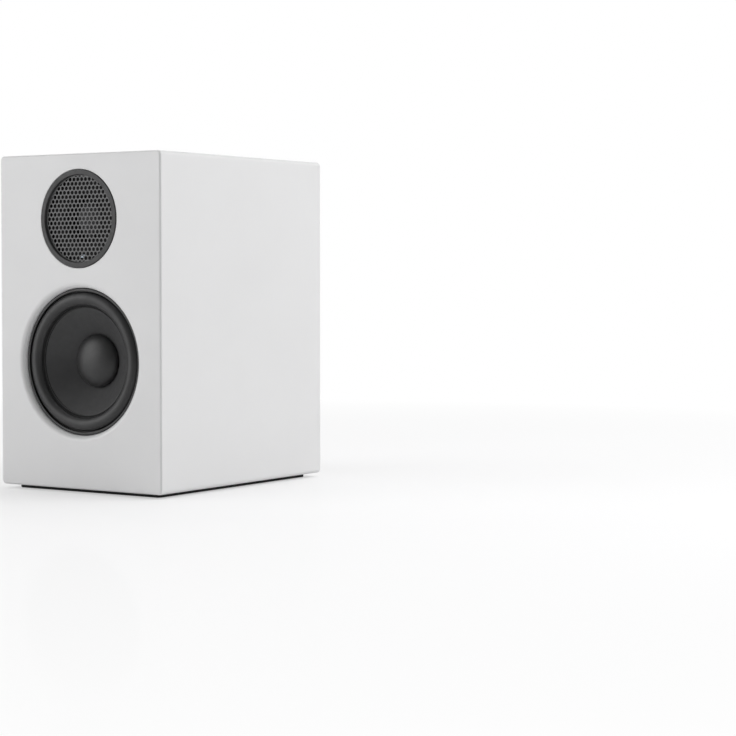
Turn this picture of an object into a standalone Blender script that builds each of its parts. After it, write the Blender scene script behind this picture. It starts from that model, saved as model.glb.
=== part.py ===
"""Powered bookshelf speaker, modelled as the separate pieces it is put together from.

Metres, +Z up. The front faces -Y. The origin is the centre of the base pad's
underside, on the surface that the speaker stands on.

Front drivers are described by their depth behind the baffle's front plane, and
what sits on the back by its height above the amplifier plate's outer face.
"""

import math

import bmesh
import bpy
from mathutils import Vector

MM = 0.001

# ---------------------------------------------------------------- general fits
GAP = 0.3 * MM                  # between pieces that touch
SHADOW = 0.5 * MM               # around a driver in its rebate
OVERSHOOT = 2.0 * MM            # how far a cutter stands out of what it cuts
MERGE = 0.001 * MM
SHARP_ANGLE = math.radians(35.0)
FULL_TURN = 2.0 * math.pi
ALONG_Y = (-math.pi / 2.0, 0.0, 0.0)    # turns local +Z to +Y, and local +Y down
LARGE_ROUND = 36                # sides of a large turned piece
MEDIUM_ROUND = 24
SMALL_ROUND = 16

# -------------------------------------------------------------------- cabinet
CABINET_WIDTH = 150.0 * MM
CABINET_HEIGHT = 240.0 * MM
CABINET_DEPTH = 196.0 * MM
WALL = 12.0 * MM
BAFFLE_THICKNESS = 15.0 * MM
REAR_THICKNESS = 12.0 * MM
REAR_RECESS = 1.5 * MM          # the rear panel sits this far inside the walls
EDGE_RADIUS = 1.6 * MM
PAD_HEIGHT = 3.0 * MM           # floor to the cabinet's underside
PAD_INSET = 9.0 * MM
WADDING_THICKNESS = 8.0 * MM
WADDING_LENGTH = 80.0 * MM

FRONT_Y = -CABINET_DEPTH / 2.0
REAR_Y = CABINET_DEPTH / 2.0 - REAR_RECESS
BODY_TOP = PAD_HEIGHT + CABINET_HEIGHT
BODY_MIDDLE = PAD_HEIGHT + CABINET_HEIGHT / 2.0
INNER_HALF_WIDTH = CABINET_WIDTH / 2.0 - WALL
INNER_TOP = BODY_TOP - WALL
INNER_BOTTOM = PAD_HEIGHT + WALL
MITRE_SET_BACK = GAP / math.sqrt(2.0)

# -------------------------------------------------------------------- tweeter
TWEETER_RADIUS = 35.0 * MM
TWEETER_PROUD = 0.5 * MM
TWEETER_FLANGE = 4.0 * MM       # depth of the flange's back face
BEZEL_WIDTH = 3.6 * MM
MESH_RECESS = 2.2 * MM
MESH_THICKNESS = 0.6 * MM
COLLAR_WALL = 2.0 * MM
COLLAR_DEPTH = 20.0 * MM
CLAMP_WIDTH = 2.4 * MM
CLAMP_THICKNESS = 4.0 * MM
TWEETER_TOP_CLEARANCE = 0.2 * MM
HORN_SHELL = 2.2 * MM
THROAT_LAP = 0.5 * MM           # how far the throat covers the dome's roll
THROAT_SPACE = 2.0 * MM         # from the throat's edge back to the dome's foot
POCKET_WALL = 2.5 * MM          # wall round the dome's pocket
MESH_LEDGE = 1.0 * MM           # ledge that the mesh rests on
LED_TAIL = 3.0 * MM             # length of the light guide behind the horn
HORN_FLAT_DEPTH = 5.4 * MM      # the flat ring behind the mesh
HORN_FLAT_WIDTH = 8.8 * MM
HORN_FLAT_FALL = 1.2 * MM
DOME_RADIUS = 12.6 * MM
DOME_HEIGHT = 6.5 * MM
DOME_SKIN = 0.5 * MM
DOME_FOOT_DEPTH = 16.4 * MM
DOME_ROLL_WIDTH = 1.9 * MM
DOME_LANDING = 2.4 * MM
TWEETER_COIL_SKIN = 0.5 * MM
TWEETER_COIL_LENGTH = 4.0 * MM
TWEETER_MOTOR_SPACE = 3.0 * MM  # between the motor and the collar round it
TWEETER_PLATE_THICKNESS = 3.0 * MM
TWEETER_MAGNET_THICKNESS = 10.0 * MM
TWEETER_YOKE_THICKNESS = 3.5 * MM
TWEETER_VENT = 3.0 * MM
COIL_AIR = 0.4 * MM             # magnetic gap, either side of a coil
LED_FROM_EDGE = 8.3 * MM        # indicator's centre, in from the bezel's outer edge
LED_RADIUS = 1.0 * MM
LED_FLANGE = 1.9 * MM

TWEETER_SEAT = TWEETER_RADIUS + GAP
BEZEL_INNER = TWEETER_RADIUS - BEZEL_WIDTH
COLLAR_RADIUS = TWEETER_RADIUS - 2.0 * COLLAR_WALL
LED_DROP = TWEETER_RADIUS - LED_FROM_EDGE
HORN_FLAT_OUTER = COLLAR_RADIUS - 1.4 * MM
HORN_FLAT_INNER = HORN_FLAT_OUTER - HORN_FLAT_WIDTH
TWEETER_PLATE_RADIUS = COLLAR_RADIUS - COLLAR_WALL - TWEETER_MOTOR_SPACE
TWEETER_MAGNET_RADIUS = COLLAR_RADIUS - TWEETER_MOTOR_SPACE
CLAMP_RADIUS = COLLAR_RADIUS + 2.0 * GAP + CLAMP_WIDTH
TWEETER_Z = INNER_TOP - GAP - TWEETER_TOP_CLEARANCE - CLAMP_RADIUS

# --------------------------------------------------------------------- woofer
WOOFER_RADIUS = 52.5 * MM
WOOFER_RECESS = 3.8 * MM        # front plane to the trim ring's face
OPENING_ROUND = 4.2 * MM        # soft edge of the woofer's opening
DRIVER_SPACE = 9.7 * MM         # between the two openings on the front
TRIM_WIDTH = 1.9 * MM
TRIM_THICKNESS = 2.3 * MM
ROLL_OUTER_GAP = 0.5 * MM      # groove between trim ring and half roll
ROLL_WIDTH = 9.9 * MM
ROLL_HEIGHT = 3.8 * MM
ROLL_SKIN = 0.7 * MM
CONE_LAP = 1.4 * MM
CONE_ANGLE = math.radians(36.0)
CONE_SKIN = 0.8 * MM
CAP_RADIUS = 19.15 * MM
CAP_HEIGHT = 8.0 * MM
CAP_SKIN = 0.6 * MM
COIL_RADIUS = 12.8 * MM         # outside of the coil former
FORMER_SKIN = 0.35 * MM
FORMER_LENGTH = 27.0 * MM
COIL_SKIN = 0.7 * MM
COIL_LENGTH = 12.0 * MM
FRAME_FLANGE = 2.4 * MM
FRAME_SKIN = 1.2 * MM
FLANGE_WIDTH = 6.3 * MM
SPIDER_RADIUS = 30.0 * MM
SPIDER_SKIN = 0.5 * MM
SPIDER_WAVES = 3
SPIDER_WAVE_HEIGHT = 1.1 * MM
SPIDER_LEDGE = 4.0 * MM
LEDGE_OVERLAP = 1.0 * MM         # how far the disc's edge is glued inside the ledge
MOTOR_SEAT_SPACE = 4.0 * MM     # between the coil's gap and the frame's seat
SPIDER_ABOVE_PLATE = 7.5 * MM
WINDOW_WIDTH = 26.0 * MM
WINDOW_SILL = 4.0 * MM          # solid frame left before a window
WINDOW_HEAD = 2.0 * MM          # solid frame left behind a window
WINDOW_COUNT = 3                # each slot makes two windows, opposite each other
WOOFER_PLATE_RADIUS = 32.0 * MM
WOOFER_PLATE_THICKNESS = 5.0 * MM
WOOFER_MAGNET_RADIUS = 36.0 * MM
WOOFER_MAGNET_THICKNESS = 14.0 * MM
WOOFER_MAGNET_BORE = 17.0 * MM
WOOFER_YOKE_THICKNESS = 5.0 * MM
WOOFER_VENT = 4.0 * MM
WOOFER_SCREWS = 4
WOOFER_SCREW_INSET = 2.6 * MM
SCREW_RADIUS = 1.45 * MM
SCREW_HEAD_RADIUS = 2.9 * MM
SCREW_HEAD_HEIGHT = 2.0 * MM
SCREW_BITE = 1.4 * MM           # thread length in the woofer's flange

WOOFER_SEAT = WOOFER_RADIUS + SHADOW
TRIM_INNER = WOOFER_RADIUS - TRIM_WIDTH
ROLL_OUTER = TRIM_INNER - ROLL_OUTER_GAP
ROLL_INNER = ROLL_OUTER - ROLL_WIDTH
LAP_DEPTH = WOOFER_RECESS + TRIM_THICKNESS + GAP
FLANGE_DEPTH = LAP_DEPTH + ROLL_SKIN + GAP
FLANGE_INNER = WOOFER_RADIUS - FLANGE_WIDTH
CONE_EDGE = ROLL_INNER - GAP
CONE_DEPTH = FLANGE_DEPTH
WOOFER_BORE = FLANGE_INNER + FRAME_SKIN + GAP
WOOFER_REBATE = FLANGE_DEPTH + FRAME_FLANGE + GAP
NECK_RADIUS = COIL_RADIUS + GAP
NECK_DEPTH = CONE_DEPTH + (CONE_EDGE - CONE_LAP - NECK_RADIUS) * math.tan(CONE_ANGLE)
FORMER_START = NECK_DEPTH + GAP
FORMER_END = FORMER_START + FORMER_LENGTH
COIL_END = FORMER_END - GAP
WOOFER_PLATE_DEPTH = COIL_END - (COIL_LENGTH + WOOFER_PLATE_THICKNESS) / 2.0
COIL_OUTER = COIL_RADIUS + GAP + COIL_SKIN
WOOFER_POLE_RADIUS = COIL_RADIUS - FORMER_SKIN - COIL_AIR
WOOFER_Z = TWEETER_Z - TWEETER_SEAT - DRIVER_SPACE - WOOFER_SEAT - OPENING_ROUND

# ------------------------------------------------------------------ reflex port
PORT_RADIUS = 17.0 * MM
PORT_WALL = 2.0 * MM
PORT_FLANGE_RADIUS = 27.0 * MM
PORT_FLANGE = 2.5 * MM
PORT_FLARE = 5.0 * MM
PORT_EDGE = 1.0 * MM            # bevel of the flange's outer edge
PORT_LENGTH = 85.0 * MM
PORT_ABOVE_PLATE = 3.0 * MM

# ------------------------------------------------------------- amplifier module
PLATE_WIDTH = 116.0 * MM
PLATE_HEIGHT = 144.0 * MM
PLATE_THICKNESS = 2.0 * MM
PLATE_CORNER = 4.0 * MM
PLATE_FROM_BOTTOM = 5.0 * MM    # above the bottom panel's inner face
PLATE_OVERLAP = 10.0 * MM       # rests on the rear panel by this much all round
PLATE_SCREW_INSET = 5.0 * MM
PLATE_SCREW_LENGTH = 9.0 * MM
PILLAR_RADIUS = 3.0 * MM
PILLAR_LENGTH = 28.5 * MM
PILLAR_INSET = 6.0 * MM         # from the edge of the opening
BOARD_THICKNESS = 1.6 * MM
BOARD_CLEARANCE = 2.0 * MM
SINK_WIDTH = 62.0 * MM
SINK_HEIGHT = 42.0 * MM
SINK_BASE = 3.0 * MM
SINK_DEPTH = 11.0 * MM
SINK_FINS = 9
SINK_FIN_WIDTH = 1.8 * MM
SINK_PLACE = (17.0 * MM, 40.0 * MM)
KNOB_PLACE = (-33.0 * MM, 43.0 * MM)
BUTTON_PLACE = (-33.0 * MM, 18.0 * MM)
JACK_PLACES = ((-43.0 * MM, -6.0 * MM), (-27.0 * MM, -6.0 * MM))
POST_PLACES = ((16.0 * MM, -6.0 * MM), (38.0 * MM, -6.0 * MM))
ROCKER_PLACE = (-30.0 * MM, -44.0 * MM)
INLET_PLACE = (24.0 * MM, -44.0 * MM)

PLATE_BACK_Y = REAR_Y + GAP
PLATE_Y = PLATE_BACK_Y + PLATE_THICKNESS
PLATE_Z = INNER_BOTTOM + PLATE_FROM_BOTTOM + PLATE_HEIGHT / 2.0
PORT_Z = PLATE_Z + PLATE_HEIGHT / 2.0 + PORT_ABOVE_PLATE + PORT_FLANGE_RADIUS
MODULE_HALF_WIDTH = PLATE_WIDTH / 2.0 - PLATE_OVERLAP
MODULE_HALF_HEIGHT = PLATE_HEIGHT / 2.0 - PLATE_OVERLAP
BOARD_Y = PLATE_BACK_Y - PILLAR_LENGTH - GAP

# ---------------------------------------------------------------- small controls
KNOB_RADIUS = 10.0 * MM
KNOB_HEIGHT = 12.0 * MM
KNOB_SKIRT = 1.5 * MM
KNOB_FLUTES = 18
KNOB_FLUTE_DEPTH = 0.6 * MM
KNOB_MARK_WIDTH = 1.0 * MM
KNOB_MARK_DEPTH = 0.6 * MM
KNOB_MARK_INSET = 1.5 * MM      # from the knob's edge to the mark
KNOB_POCKET = 8.0 * MM
SHAFT_RADIUS = 3.0 * MM
SHAFT_OUT = 9.5 * MM
BUSH_WALL = 1.2 * MM
BUSH_OUT = 1.5 * MM
POT_SIZE = 17.0 * MM
POT_DEPTH = 9.0 * MM
SHAFT_IN = 5.0 * MM
BUTTON_RADIUS = 3.2 * MM
BUTTON_OUT = 2.6 * MM
BUTTON_TRAVEL = 1.5 * MM
BUTTON_LIP = 1.2 * MM
BUTTON_LIP_THICKNESS = 1.0 * MM
BUTTON_TO_BOARD = 1.5 * MM      # left between the pressed stem and the board
BUTTON_STEM = 1.6 * MM
SWITCH_WIDTH = 19.0 * MM
SWITCH_HEIGHT = 13.0 * MM
SWITCH_DEPTH = 13.0 * MM
SWITCH_LIP = 1.5 * MM
SWITCH_LIP_HEIGHT = 1.6 * MM
SWITCH_WALL = 1.3 * MM
ROCKER_TILT = math.radians(7.0)
ROCKER_CLEARANCE = 0.7 * MM
ROCKER_OUT = 1.6 * MM
ROCKER_DEPTH = 5.0 * MM
ROCKER_DISH = 0.6 * MM          # hollow of the rocker's face
INLET_WIDTH = 27.0 * MM
INLET_HEIGHT = 20.0 * MM
INLET_LIP = 2.0 * MM
INLET_LIP_HEIGHT = 2.5 * MM
INLET_WALL = 1.6 * MM
INLET_DEPTH = 22.0 * MM
INLET_FLOOR = 2.5 * MM
INLET_CORNER = 2.5 * MM
PIN_LENGTH = 13.0 * MM
PIN_WIDTH = 2.0 * MM
PIN_HEIGHT = 4.0 * MM
PIN_SPACING = 7.0 * MM
PIN_OFFSET = 2.0 * MM
JACK_RADIUS = 4.1 * MM
JACK_OUT = 9.0 * MM
JACK_WALL = 0.7 * MM
JACK_FLANGE = 6.0 * MM
JACK_FLANGE_HEIGHT = 2.2 * MM
JACK_CORE = 2.1 * MM
JACK_SOCKET = 1.5 * MM
JACK_FLOOR = 1.0 * MM           # floor of the ring gap, above the flange's foot
JACK_SOCKET_FLOOR = 1.5 * MM
JACK_CORE_DROP = 2.0 * MM       # the core ends this far inside the barrel
JACK_IN = 12.0 * MM
POST_RADIUS = 7.5 * MM
POST_COLLAR = 4.0 * MM
POST_STUD_RADIUS = 3.1 * MM
POST_STUD_OUT = 17.0 * MM
POST_SOCKET = 2.1 * MM
POST_SOCKET_DEPTH = 12.0 * MM
POST_WASHER_INSET = 0.5 * MM
POST_CAP_FLUTE_DEPTH = 0.5 * MM
POST_IN = 10.0 * MM
POST_IN_RADIUS = 3.6 * MM
POST_WASHER = 1.5 * MM
POST_CAP_HEIGHT = 13.0 * MM
POST_CAP_FLUTES = 12

# -------------------------------------------------------------- inside the amplifier
TRANSFORMER_RADIUS = 24.0 * MM
TRANSFORMER_BORE = 8.0 * MM
TRANSFORMER_HEIGHT = 22.0 * MM
TRANSFORMER_PLACE = (16.0 * MM, -28.0 * MM)
LEAD_RADIUS = 1.4 * MM
STRIP_WIDTH = 14.0 * MM
STRIP_HEIGHT = 2.4 * MM
STRIP_DEPTH = 4.5 * MM


# ---------------------------------------------------------------- making objects
def clear_scene():
    """Take everything out of the scene."""
    for found in list(bpy.data.objects):
        bpy.data.objects.remove(found, do_unlink=True)


def finish(name, colour, roughness, metallic=0.0):
    """A Principled material in one colour."""
    look = bpy.data.materials.new(name)
    look.use_nodes = True
    shader = look.node_tree.nodes["Principled BSDF"]
    shader.inputs["Base Color"].default_value = (*colour, 1.0)
    shader.inputs["Roughness"].default_value = roughness
    shader.inputs["Metallic"].default_value = metallic
    look.diffuse_color = (*colour, 1.0)
    return look


def to_mesh(bm, name):
    """Close off a bmesh with its faces pointing out and its round sides smooth."""
    bmesh.ops.recalc_face_normals(bm, faces=bm.faces)
    mesh = bpy.data.meshes.new(name)
    bm.to_mesh(mesh)
    bm.free()
    mesh.shade_smooth()
    mesh.set_sharp_from_angle(angle=SHARP_ANGLE)
    return mesh


def place(name, mesh, look, location=(0.0, 0.0, 0.0), rotation=(0.0, 0.0, 0.0), parent=None):
    """Put a mesh in the scene as one named piece."""
    made = bpy.data.objects.new(name, mesh)
    bpy.context.collection.objects.link(made)
    made.location = location
    made.rotation_euler = rotation
    made.parent = parent
    if look is not None:
        mesh.materials.append(look)
    return made


def axis_empty(name, location):
    """An empty whose +Z runs along the cabinet's depth, towards the back."""
    made = bpy.data.objects.new(name, None)
    bpy.context.collection.objects.link(made)
    made.location = location
    made.rotation_euler = ALONG_Y
    return made


def cutter(name, mesh, location=(0.0, 0.0, 0.0), rotation=(0.0, 0.0, 0.0), parent=None):
    """A tool shape that is only there for a Boolean."""
    made = place("tool_" + name, mesh, None, location, rotation, parent)
    made.hide_render = True
    made.display_type = "WIRE"
    return made


def boolean(target, tool, operation="DIFFERENCE"):
    """Cut a tool shape out of a piece, or add it to the piece."""
    step = target.modifiers.new(tool.name, "BOOLEAN")
    step.operation = operation
    step.solver = "EXACT"
    step.object = tool


# ------------------------------------------------------------------ basic shapes
def arc(centre, radii, start, end, steps):
    """Points of an elliptical arc as (radius, depth), both ends included."""
    points = []
    for index in range(steps + 1):
        angle = math.radians(start + (end - start) * index / steps)
        points.append((centre[0] + radii[0] * math.cos(angle), centre[1] + radii[1] * math.sin(angle)))
    return points


def turned(profile, sides, name="turned"):
    """Turn a closed outline of (radius, depth) points about local Z."""
    bm = bmesh.new()
    verts = [bm.verts.new((radius, 0.0, depth)) for radius, depth in profile]
    edges = []
    for index, vert in enumerate(verts):
        before = verts[index - 1]
        on_axis = vert.co.x < MERGE and before.co.x < MERGE
        if not on_axis:
            edges.append(bm.edges.new((before, vert)))
    bmesh.ops.spin(
        bm, geom=verts + edges, cent=(0.0, 0.0, 0.0), axis=(0.0, 0.0, 1.0),
        dvec=(0.0, 0.0, 0.0), angle=FULL_TURN, steps=sides, use_duplicate=False,
    )
    bmesh.ops.remove_doubles(bm, verts=bm.verts, dist=MERGE)
    return to_mesh(bm, name)


def rod(radius, start, end, sides=SMALL_ROUND):
    """A plain round bar between two depths."""
    return turned([(0.0, start), (radius, start), (radius, end), (0.0, end)], sides)


def ring(inner, outer, start, end, sides):
    """A plain flat ring between two depths."""
    return turned([(inner, start), (outer, start), (outer, end), (inner, end)], sides)


def prism(outline, start, end, name="prism"):
    """An outline of (x, y) points given thickness along Z."""
    bm = bmesh.new()
    face = bm.faces.new([bm.verts.new((x, y, start)) for x, y in outline])
    raised = bmesh.ops.extrude_face_region(bm, geom=[face])
    lifted = [item for item in raised["geom"] if isinstance(item, bmesh.types.BMVert)]
    bmesh.ops.translate(bm, verts=lifted, vec=(0.0, 0.0, end - start))
    return to_mesh(bm, name)


def rectangle(half_width, half_height, corner=0.0, steps=3):
    """Outline of a rectangle, with round corners where corner is not zero."""
    if corner <= 0.0:
        return [(-half_width, -half_height), (half_width, -half_height),
                (half_width, half_height), (-half_width, half_height)]
    points = []
    for quarter, (side_x, side_y) in enumerate(((1, 1), (-1, 1), (-1, -1), (1, -1))):
        centre = (side_x * (half_width - corner), side_y * (half_height - corner))
        points += arc(centre, (corner, corner), 90.0 * quarter, 90.0 * (quarter + 1), steps)
    return points


def fluted(radius, depth_of_cut, flutes):
    """Outline of a round grip with one shallow valley to each flute."""
    points = []
    for index in range(flutes * 2):
        angle = FULL_TURN * index / (flutes * 2)
        reach = radius if index % 2 == 0 else radius - depth_of_cut
        points.append((reach * math.cos(angle), reach * math.sin(angle)))
    return points


def slab(low, high, name="slab"):
    """A plain block between two corners."""
    outline = [(low[0], low[1]), (high[0], low[1]), (high[0], high[1]), (low[0], high[1])]
    return prism(outline, low[2], high[2], name)


def around(count, radius, offset=0.0):
    """Places spread evenly round a circle, as (x, y)."""
    angles = [offset + FULL_TURN * index / count for index in range(count)]
    return [(radius * math.cos(angle), radius * math.sin(angle)) for angle in angles]


# ------------------------------------------------------------------ cabinet panels
def rounding_inset(depth):
    """How far the rounded outer edge has pulled in at a depth below the face."""
    if depth >= EDGE_RADIUS:
        return 0.0
    rise = EDGE_RADIUS - depth
    return EDGE_RADIUS - math.sqrt(EDGE_RADIUS ** 2 - rise ** 2)


def edge_inset(depth, mitred):
    """How far a panel's edge stands in from the cabinet's corner at a depth."""
    if not mitred:
        return rounding_inset(depth)
    return max(rounding_inset(depth), min(depth, WALL) + MITRE_SET_BACK)


def panel(width, length, thickness, mitred):
    """A cabinet panel with its face at z = 0 and its edges mitred or square.

    mitred tells it for the -x, +x, -y and +y edges in turn.
    """
    depths = [EDGE_RADIUS * (1.0 - math.cos(math.radians(angle))) for angle in (0, 30, 45, 60, 90)]
    if thickness > WALL:
        depths.append(WALL)
    depths.append(thickness)
    bm = bmesh.new()
    rings = []
    for depth in depths:
        west, east, south, north = [edge_inset(depth, joint) for joint in mitred]
        left, right = -width / 2.0 + west, width / 2.0 - east
        near, far = -length / 2.0 + south, length / 2.0 - north
        corners = ((left, near), (right, near), (right, far), (left, far))
        rings.append([bm.verts.new((x, y, -depth)) for x, y in corners])
    bm.faces.new(rings[0])
    bm.faces.new(reversed(rings[-1]))
    for upper, lower in zip(rings, rings[1:]):
        for index in range(4):
            bm.faces.new((upper[index - 1], lower[index - 1], lower[index], upper[index]))
    return to_mesh(bm, "panel")


def build_cabinet(lacquer, board, rubber, fibre):
    """Six panels, the pad underneath and the wadding inside."""
    quarter = math.pi / 2.0
    front = place(
        "front_baffle", panel(CABINET_WIDTH, CABINET_HEIGHT, BAFFLE_THICKNESS, (True,) * 4),
        lacquer, (0.0, FRONT_Y, BODY_MIDDLE), (quarter, 0.0, 0.0),
    )
    cut_baffle(front)
    side_edge = CABINET_WIDTH / 2.0
    place(
        "left_side_panel", panel(CABINET_DEPTH, CABINET_HEIGHT, WALL, (False, True, True, True)),
        lacquer, (-side_edge, 0.0, BODY_MIDDLE), (quarter, 0.0, -quarter),
    )
    place(
        "right_side_panel", panel(CABINET_DEPTH, CABINET_HEIGHT, WALL, (True, False, True, True)),
        lacquer, (side_edge, 0.0, BODY_MIDDLE), (quarter, 0.0, quarter),
    )
    place(
        "top_panel", panel(CABINET_WIDTH, CABINET_DEPTH, WALL, (True, True, True, False)),
        lacquer, (0.0, 0.0, BODY_TOP),
    )
    place(
        "bottom_panel", panel(CABINET_WIDTH, CABINET_DEPTH, WALL, (True, True, False, True)),
        lacquer, (0.0, 0.0, PAD_HEIGHT), (math.pi, 0.0, 0.0),
    )
    rear_outline = rectangle(INNER_HALF_WIDTH - GAP, CABINET_HEIGHT / 2.0 - WALL - GAP)
    rear = place(
        "rear_panel", prism(rear_outline, -REAR_THICKNESS, 0.0), board,
        (0.0, REAR_Y, BODY_MIDDLE), ALONG_Y,
    )
    cut_rear(rear)
    pad_outline = rectangle(CABINET_WIDTH / 2.0 - PAD_INSET, CABINET_DEPTH / 2.0 - PAD_INSET)
    place("base_pad", prism(pad_outline, 0.0, PAD_HEIGHT - GAP), rubber)
    build_wadding(fibre)


def cut_baffle(front):
    """Openings, rebates and screw holes of the front baffle."""
    edge = WOOFER_SEAT + OPENING_ROUND
    profile = [(0.0, -OVERSHOOT), (edge, -OVERSHOOT)]
    profile += arc((edge, OPENING_ROUND), (-OPENING_ROUND, -OPENING_ROUND), 90.0, 0.0, 4)
    profile += [(WOOFER_SEAT, WOOFER_REBATE), (WOOFER_BORE, WOOFER_REBATE)]
    through = BAFFLE_THICKNESS + OVERSHOOT
    profile += [(WOOFER_BORE, through), (0.0, through)]
    axis = (0.0, FRONT_Y, WOOFER_Z)
    boolean(front, cutter("woofer_opening", turned(profile, LARGE_ROUND), axis, ALONG_Y))
    bore = COLLAR_RADIUS + GAP
    seat_depth = TWEETER_FLANGE + GAP
    profile = [
        (0.0, -OVERSHOOT), (TWEETER_SEAT, -OVERSHOOT), (TWEETER_SEAT, seat_depth),
        (bore, seat_depth), (bore, through), (0.0, through),
    ]
    axis = (0.0, FRONT_Y, TWEETER_Z)
    boolean(front, cutter("tweeter_opening", turned(profile, LARGE_ROUND), axis, ALONG_Y))
    for index, (x, drop) in enumerate(woofer_screw_places()):
        hole = rod(SCREW_RADIUS + GAP, WOOFER_REBATE - OVERSHOOT / 2.0, through, 12)
        boolean(front, cutter(f"baffle_hole_{index + 1}", hole, (x, FRONT_Y, WOOFER_Z - drop), ALONG_Y))


def cut_rear(rear):
    """Openings of the rear panel for the amplifier, the port and four screws."""
    outline = rectangle(MODULE_HALF_WIDTH, MODULE_HALF_HEIGHT, PLATE_CORNER)
    tool = prism(outline, -REAR_THICKNESS - OVERSHOOT, OVERSHOOT)
    boolean(rear, cutter("module_opening", tool, (0.0, REAR_Y, PLATE_Z), ALONG_Y))
    tool = rod(PORT_RADIUS + PORT_WALL + GAP, -REAR_THICKNESS - OVERSHOOT, OVERSHOOT, MEDIUM_ROUND)
    boolean(rear, cutter("port_hole", tool, (0.0, REAR_Y, PORT_Z), ALONG_Y))
    for index, (x, up) in enumerate(plate_screw_places()):
        hole = rod(SCREW_RADIUS + GAP, -PLATE_SCREW_LENGTH, OVERSHOOT, 12)
        boolean(rear, cutter(f"pilot_{index + 1}", hole, (x, REAR_Y, PLATE_Z + up), ALONG_Y))


def build_wadding(fibre):
    """Soft lining against the top and both sides, an upside-down U."""
    outer_x = INNER_HALF_WIDTH - GAP
    outer_z = INNER_TOP - GAP
    inner_x = outer_x - WADDING_THICKNESS
    inner_z = outer_z - WADDING_THICKNESS
    foot = INNER_BOTTOM + GAP
    outline = [
        (-outer_x, -foot), (-inner_x, -foot), (-inner_x, -inner_z), (inner_x, -inner_z),
        (inner_x, -foot), (outer_x, -foot), (outer_x, -outer_z), (-outer_x, -outer_z),
    ]
    place(
        "damping_wadding", prism(outline, 0.0, WADDING_LENGTH), fibre,
        (0.0, FRONT_Y + CABINET_DEPTH / 3.0, 0.0), ALONG_Y,
    )


# ------------------------------------------------------------------------ woofer
def woofer_screw_places():
    """Screw centres round the woofer's flange, as (x, drop below the axis)."""
    return around(WOOFER_SCREWS, WOOFER_RADIUS - WOOFER_SCREW_INSET, math.pi / WOOFER_SCREWS)


def half_roll_profile():
    """Cross-section of the rubber surround: landing, half roll and cone lap."""
    middle = (ROLL_OUTER + ROLL_INNER) / 2.0
    half = ROLL_WIDTH / 2.0
    back = LAP_DEPTH + ROLL_SKIN
    landing = WOOFER_RADIUS - GAP
    lap = CONE_EDGE - CONE_LAP
    profile = [(landing, back), (landing, LAP_DEPTH)]
    profile += arc((middle, LAP_DEPTH), (half, -ROLL_HEIGHT), 0.0, 180.0, 6)
    profile += [(lap, LAP_DEPTH), (lap, back)]
    profile += arc((middle, back), (half - ROLL_SKIN, -ROLL_HEIGHT), 180.0, 0.0, 6)
    return profile


def cone_profile():
    """Cross-section of the straight cone with its flat glued edge."""
    slope = CONE_EDGE - CONE_LAP
    return [
        (CONE_EDGE, CONE_DEPTH), (slope, CONE_DEPTH), (NECK_RADIUS, NECK_DEPTH),
        (NECK_RADIUS, NECK_DEPTH + CONE_SKIN * 1.6), (slope, CONE_DEPTH + CONE_SKIN),
        (CONE_EDGE, CONE_DEPTH + CONE_SKIN),
    ]


def cap_profile():
    """Cross-section of the domed dust cap, its rim just clear of the cone."""
    rim = CONE_DEPTH + (CONE_EDGE - CONE_LAP - CAP_RADIUS) * math.tan(CONE_ANGLE) - GAP
    outer = [(CAP_RADIUS, rim)]
    inner = []
    steps = 5
    for index in range(1, steps + 1):
        share = index / steps
        angle = share * math.pi / 2.0
        outer.append((CAP_RADIUS * math.cos(angle), rim - CAP_HEIGHT * math.sin(angle)))
        inner_height = CAP_HEIGHT - CAP_SKIN
        inner.append(((CAP_RADIUS - CAP_SKIN) * math.cos(angle), rim - inner_height * math.sin(angle)))
    outer[-1] = (0.0, rim - CAP_HEIGHT)
    inner[-1] = (0.0, rim - CAP_HEIGHT + CAP_SKIN)
    return outer + list(reversed(inner)) + [(CAP_RADIUS - CAP_SKIN, rim)]


def spider_profile():
    """Cross-section of the corrugated centring disc behind the cone."""
    inner = COIL_RADIUS + GAP
    depth = WOOFER_PLATE_DEPTH - SPIDER_ABOVE_PLATE
    steps = SPIDER_WAVES * 2 + 1
    front, back = [], []
    for index in range(steps + 1):
        radius = inner + (SPIDER_RADIUS - inner) * index / steps
        lift = 0.0
        if 0 < index < steps:
            lift = SPIDER_WAVE_HEIGHT if index % 2 else -SPIDER_WAVE_HEIGHT
        front.append((radius, depth + lift))
        back.append((radius, depth + lift + SPIDER_SKIN))
    return front + list(reversed(back))


def frame_profile():
    """Cross-section of the pressed basket: flange, cone wall, ledge and motor seat."""
    ledge = WOOFER_PLATE_DEPTH - SPIDER_ABOVE_PLATE + SPIDER_SKIN + GAP
    ledge_outer = SPIDER_RADIUS + SPIDER_LEDGE
    ledge_inner = SPIDER_RADIUS - SPIDER_LEDGE + LEDGE_OVERLAP
    seat = WOOFER_PLATE_DEPTH - GAP
    seat_inner = COIL_OUTER + COIL_AIR + MOTOR_SEAT_SPACE
    flange_back = FLANGE_DEPTH + FRAME_FLANGE
    return [
        (WOOFER_RADIUS - GAP, FLANGE_DEPTH), (FLANGE_INNER, FLANGE_DEPTH),
        (FLANGE_INNER, flange_back), (ledge_outer, ledge), (ledge_inner, ledge),
        (ledge_inner, seat - FRAME_SKIN), (seat_inner, seat - FRAME_SKIN), (seat_inner, seat),
        (ledge_inner + FRAME_SKIN, seat), (ledge_inner + FRAME_SKIN, ledge + FRAME_SKIN),
        (ledge_outer + FRAME_SKIN, ledge + FRAME_SKIN),
        (FLANGE_INNER + FRAME_SKIN, flange_back), (WOOFER_RADIUS - GAP, flange_back),
    ]


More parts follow.
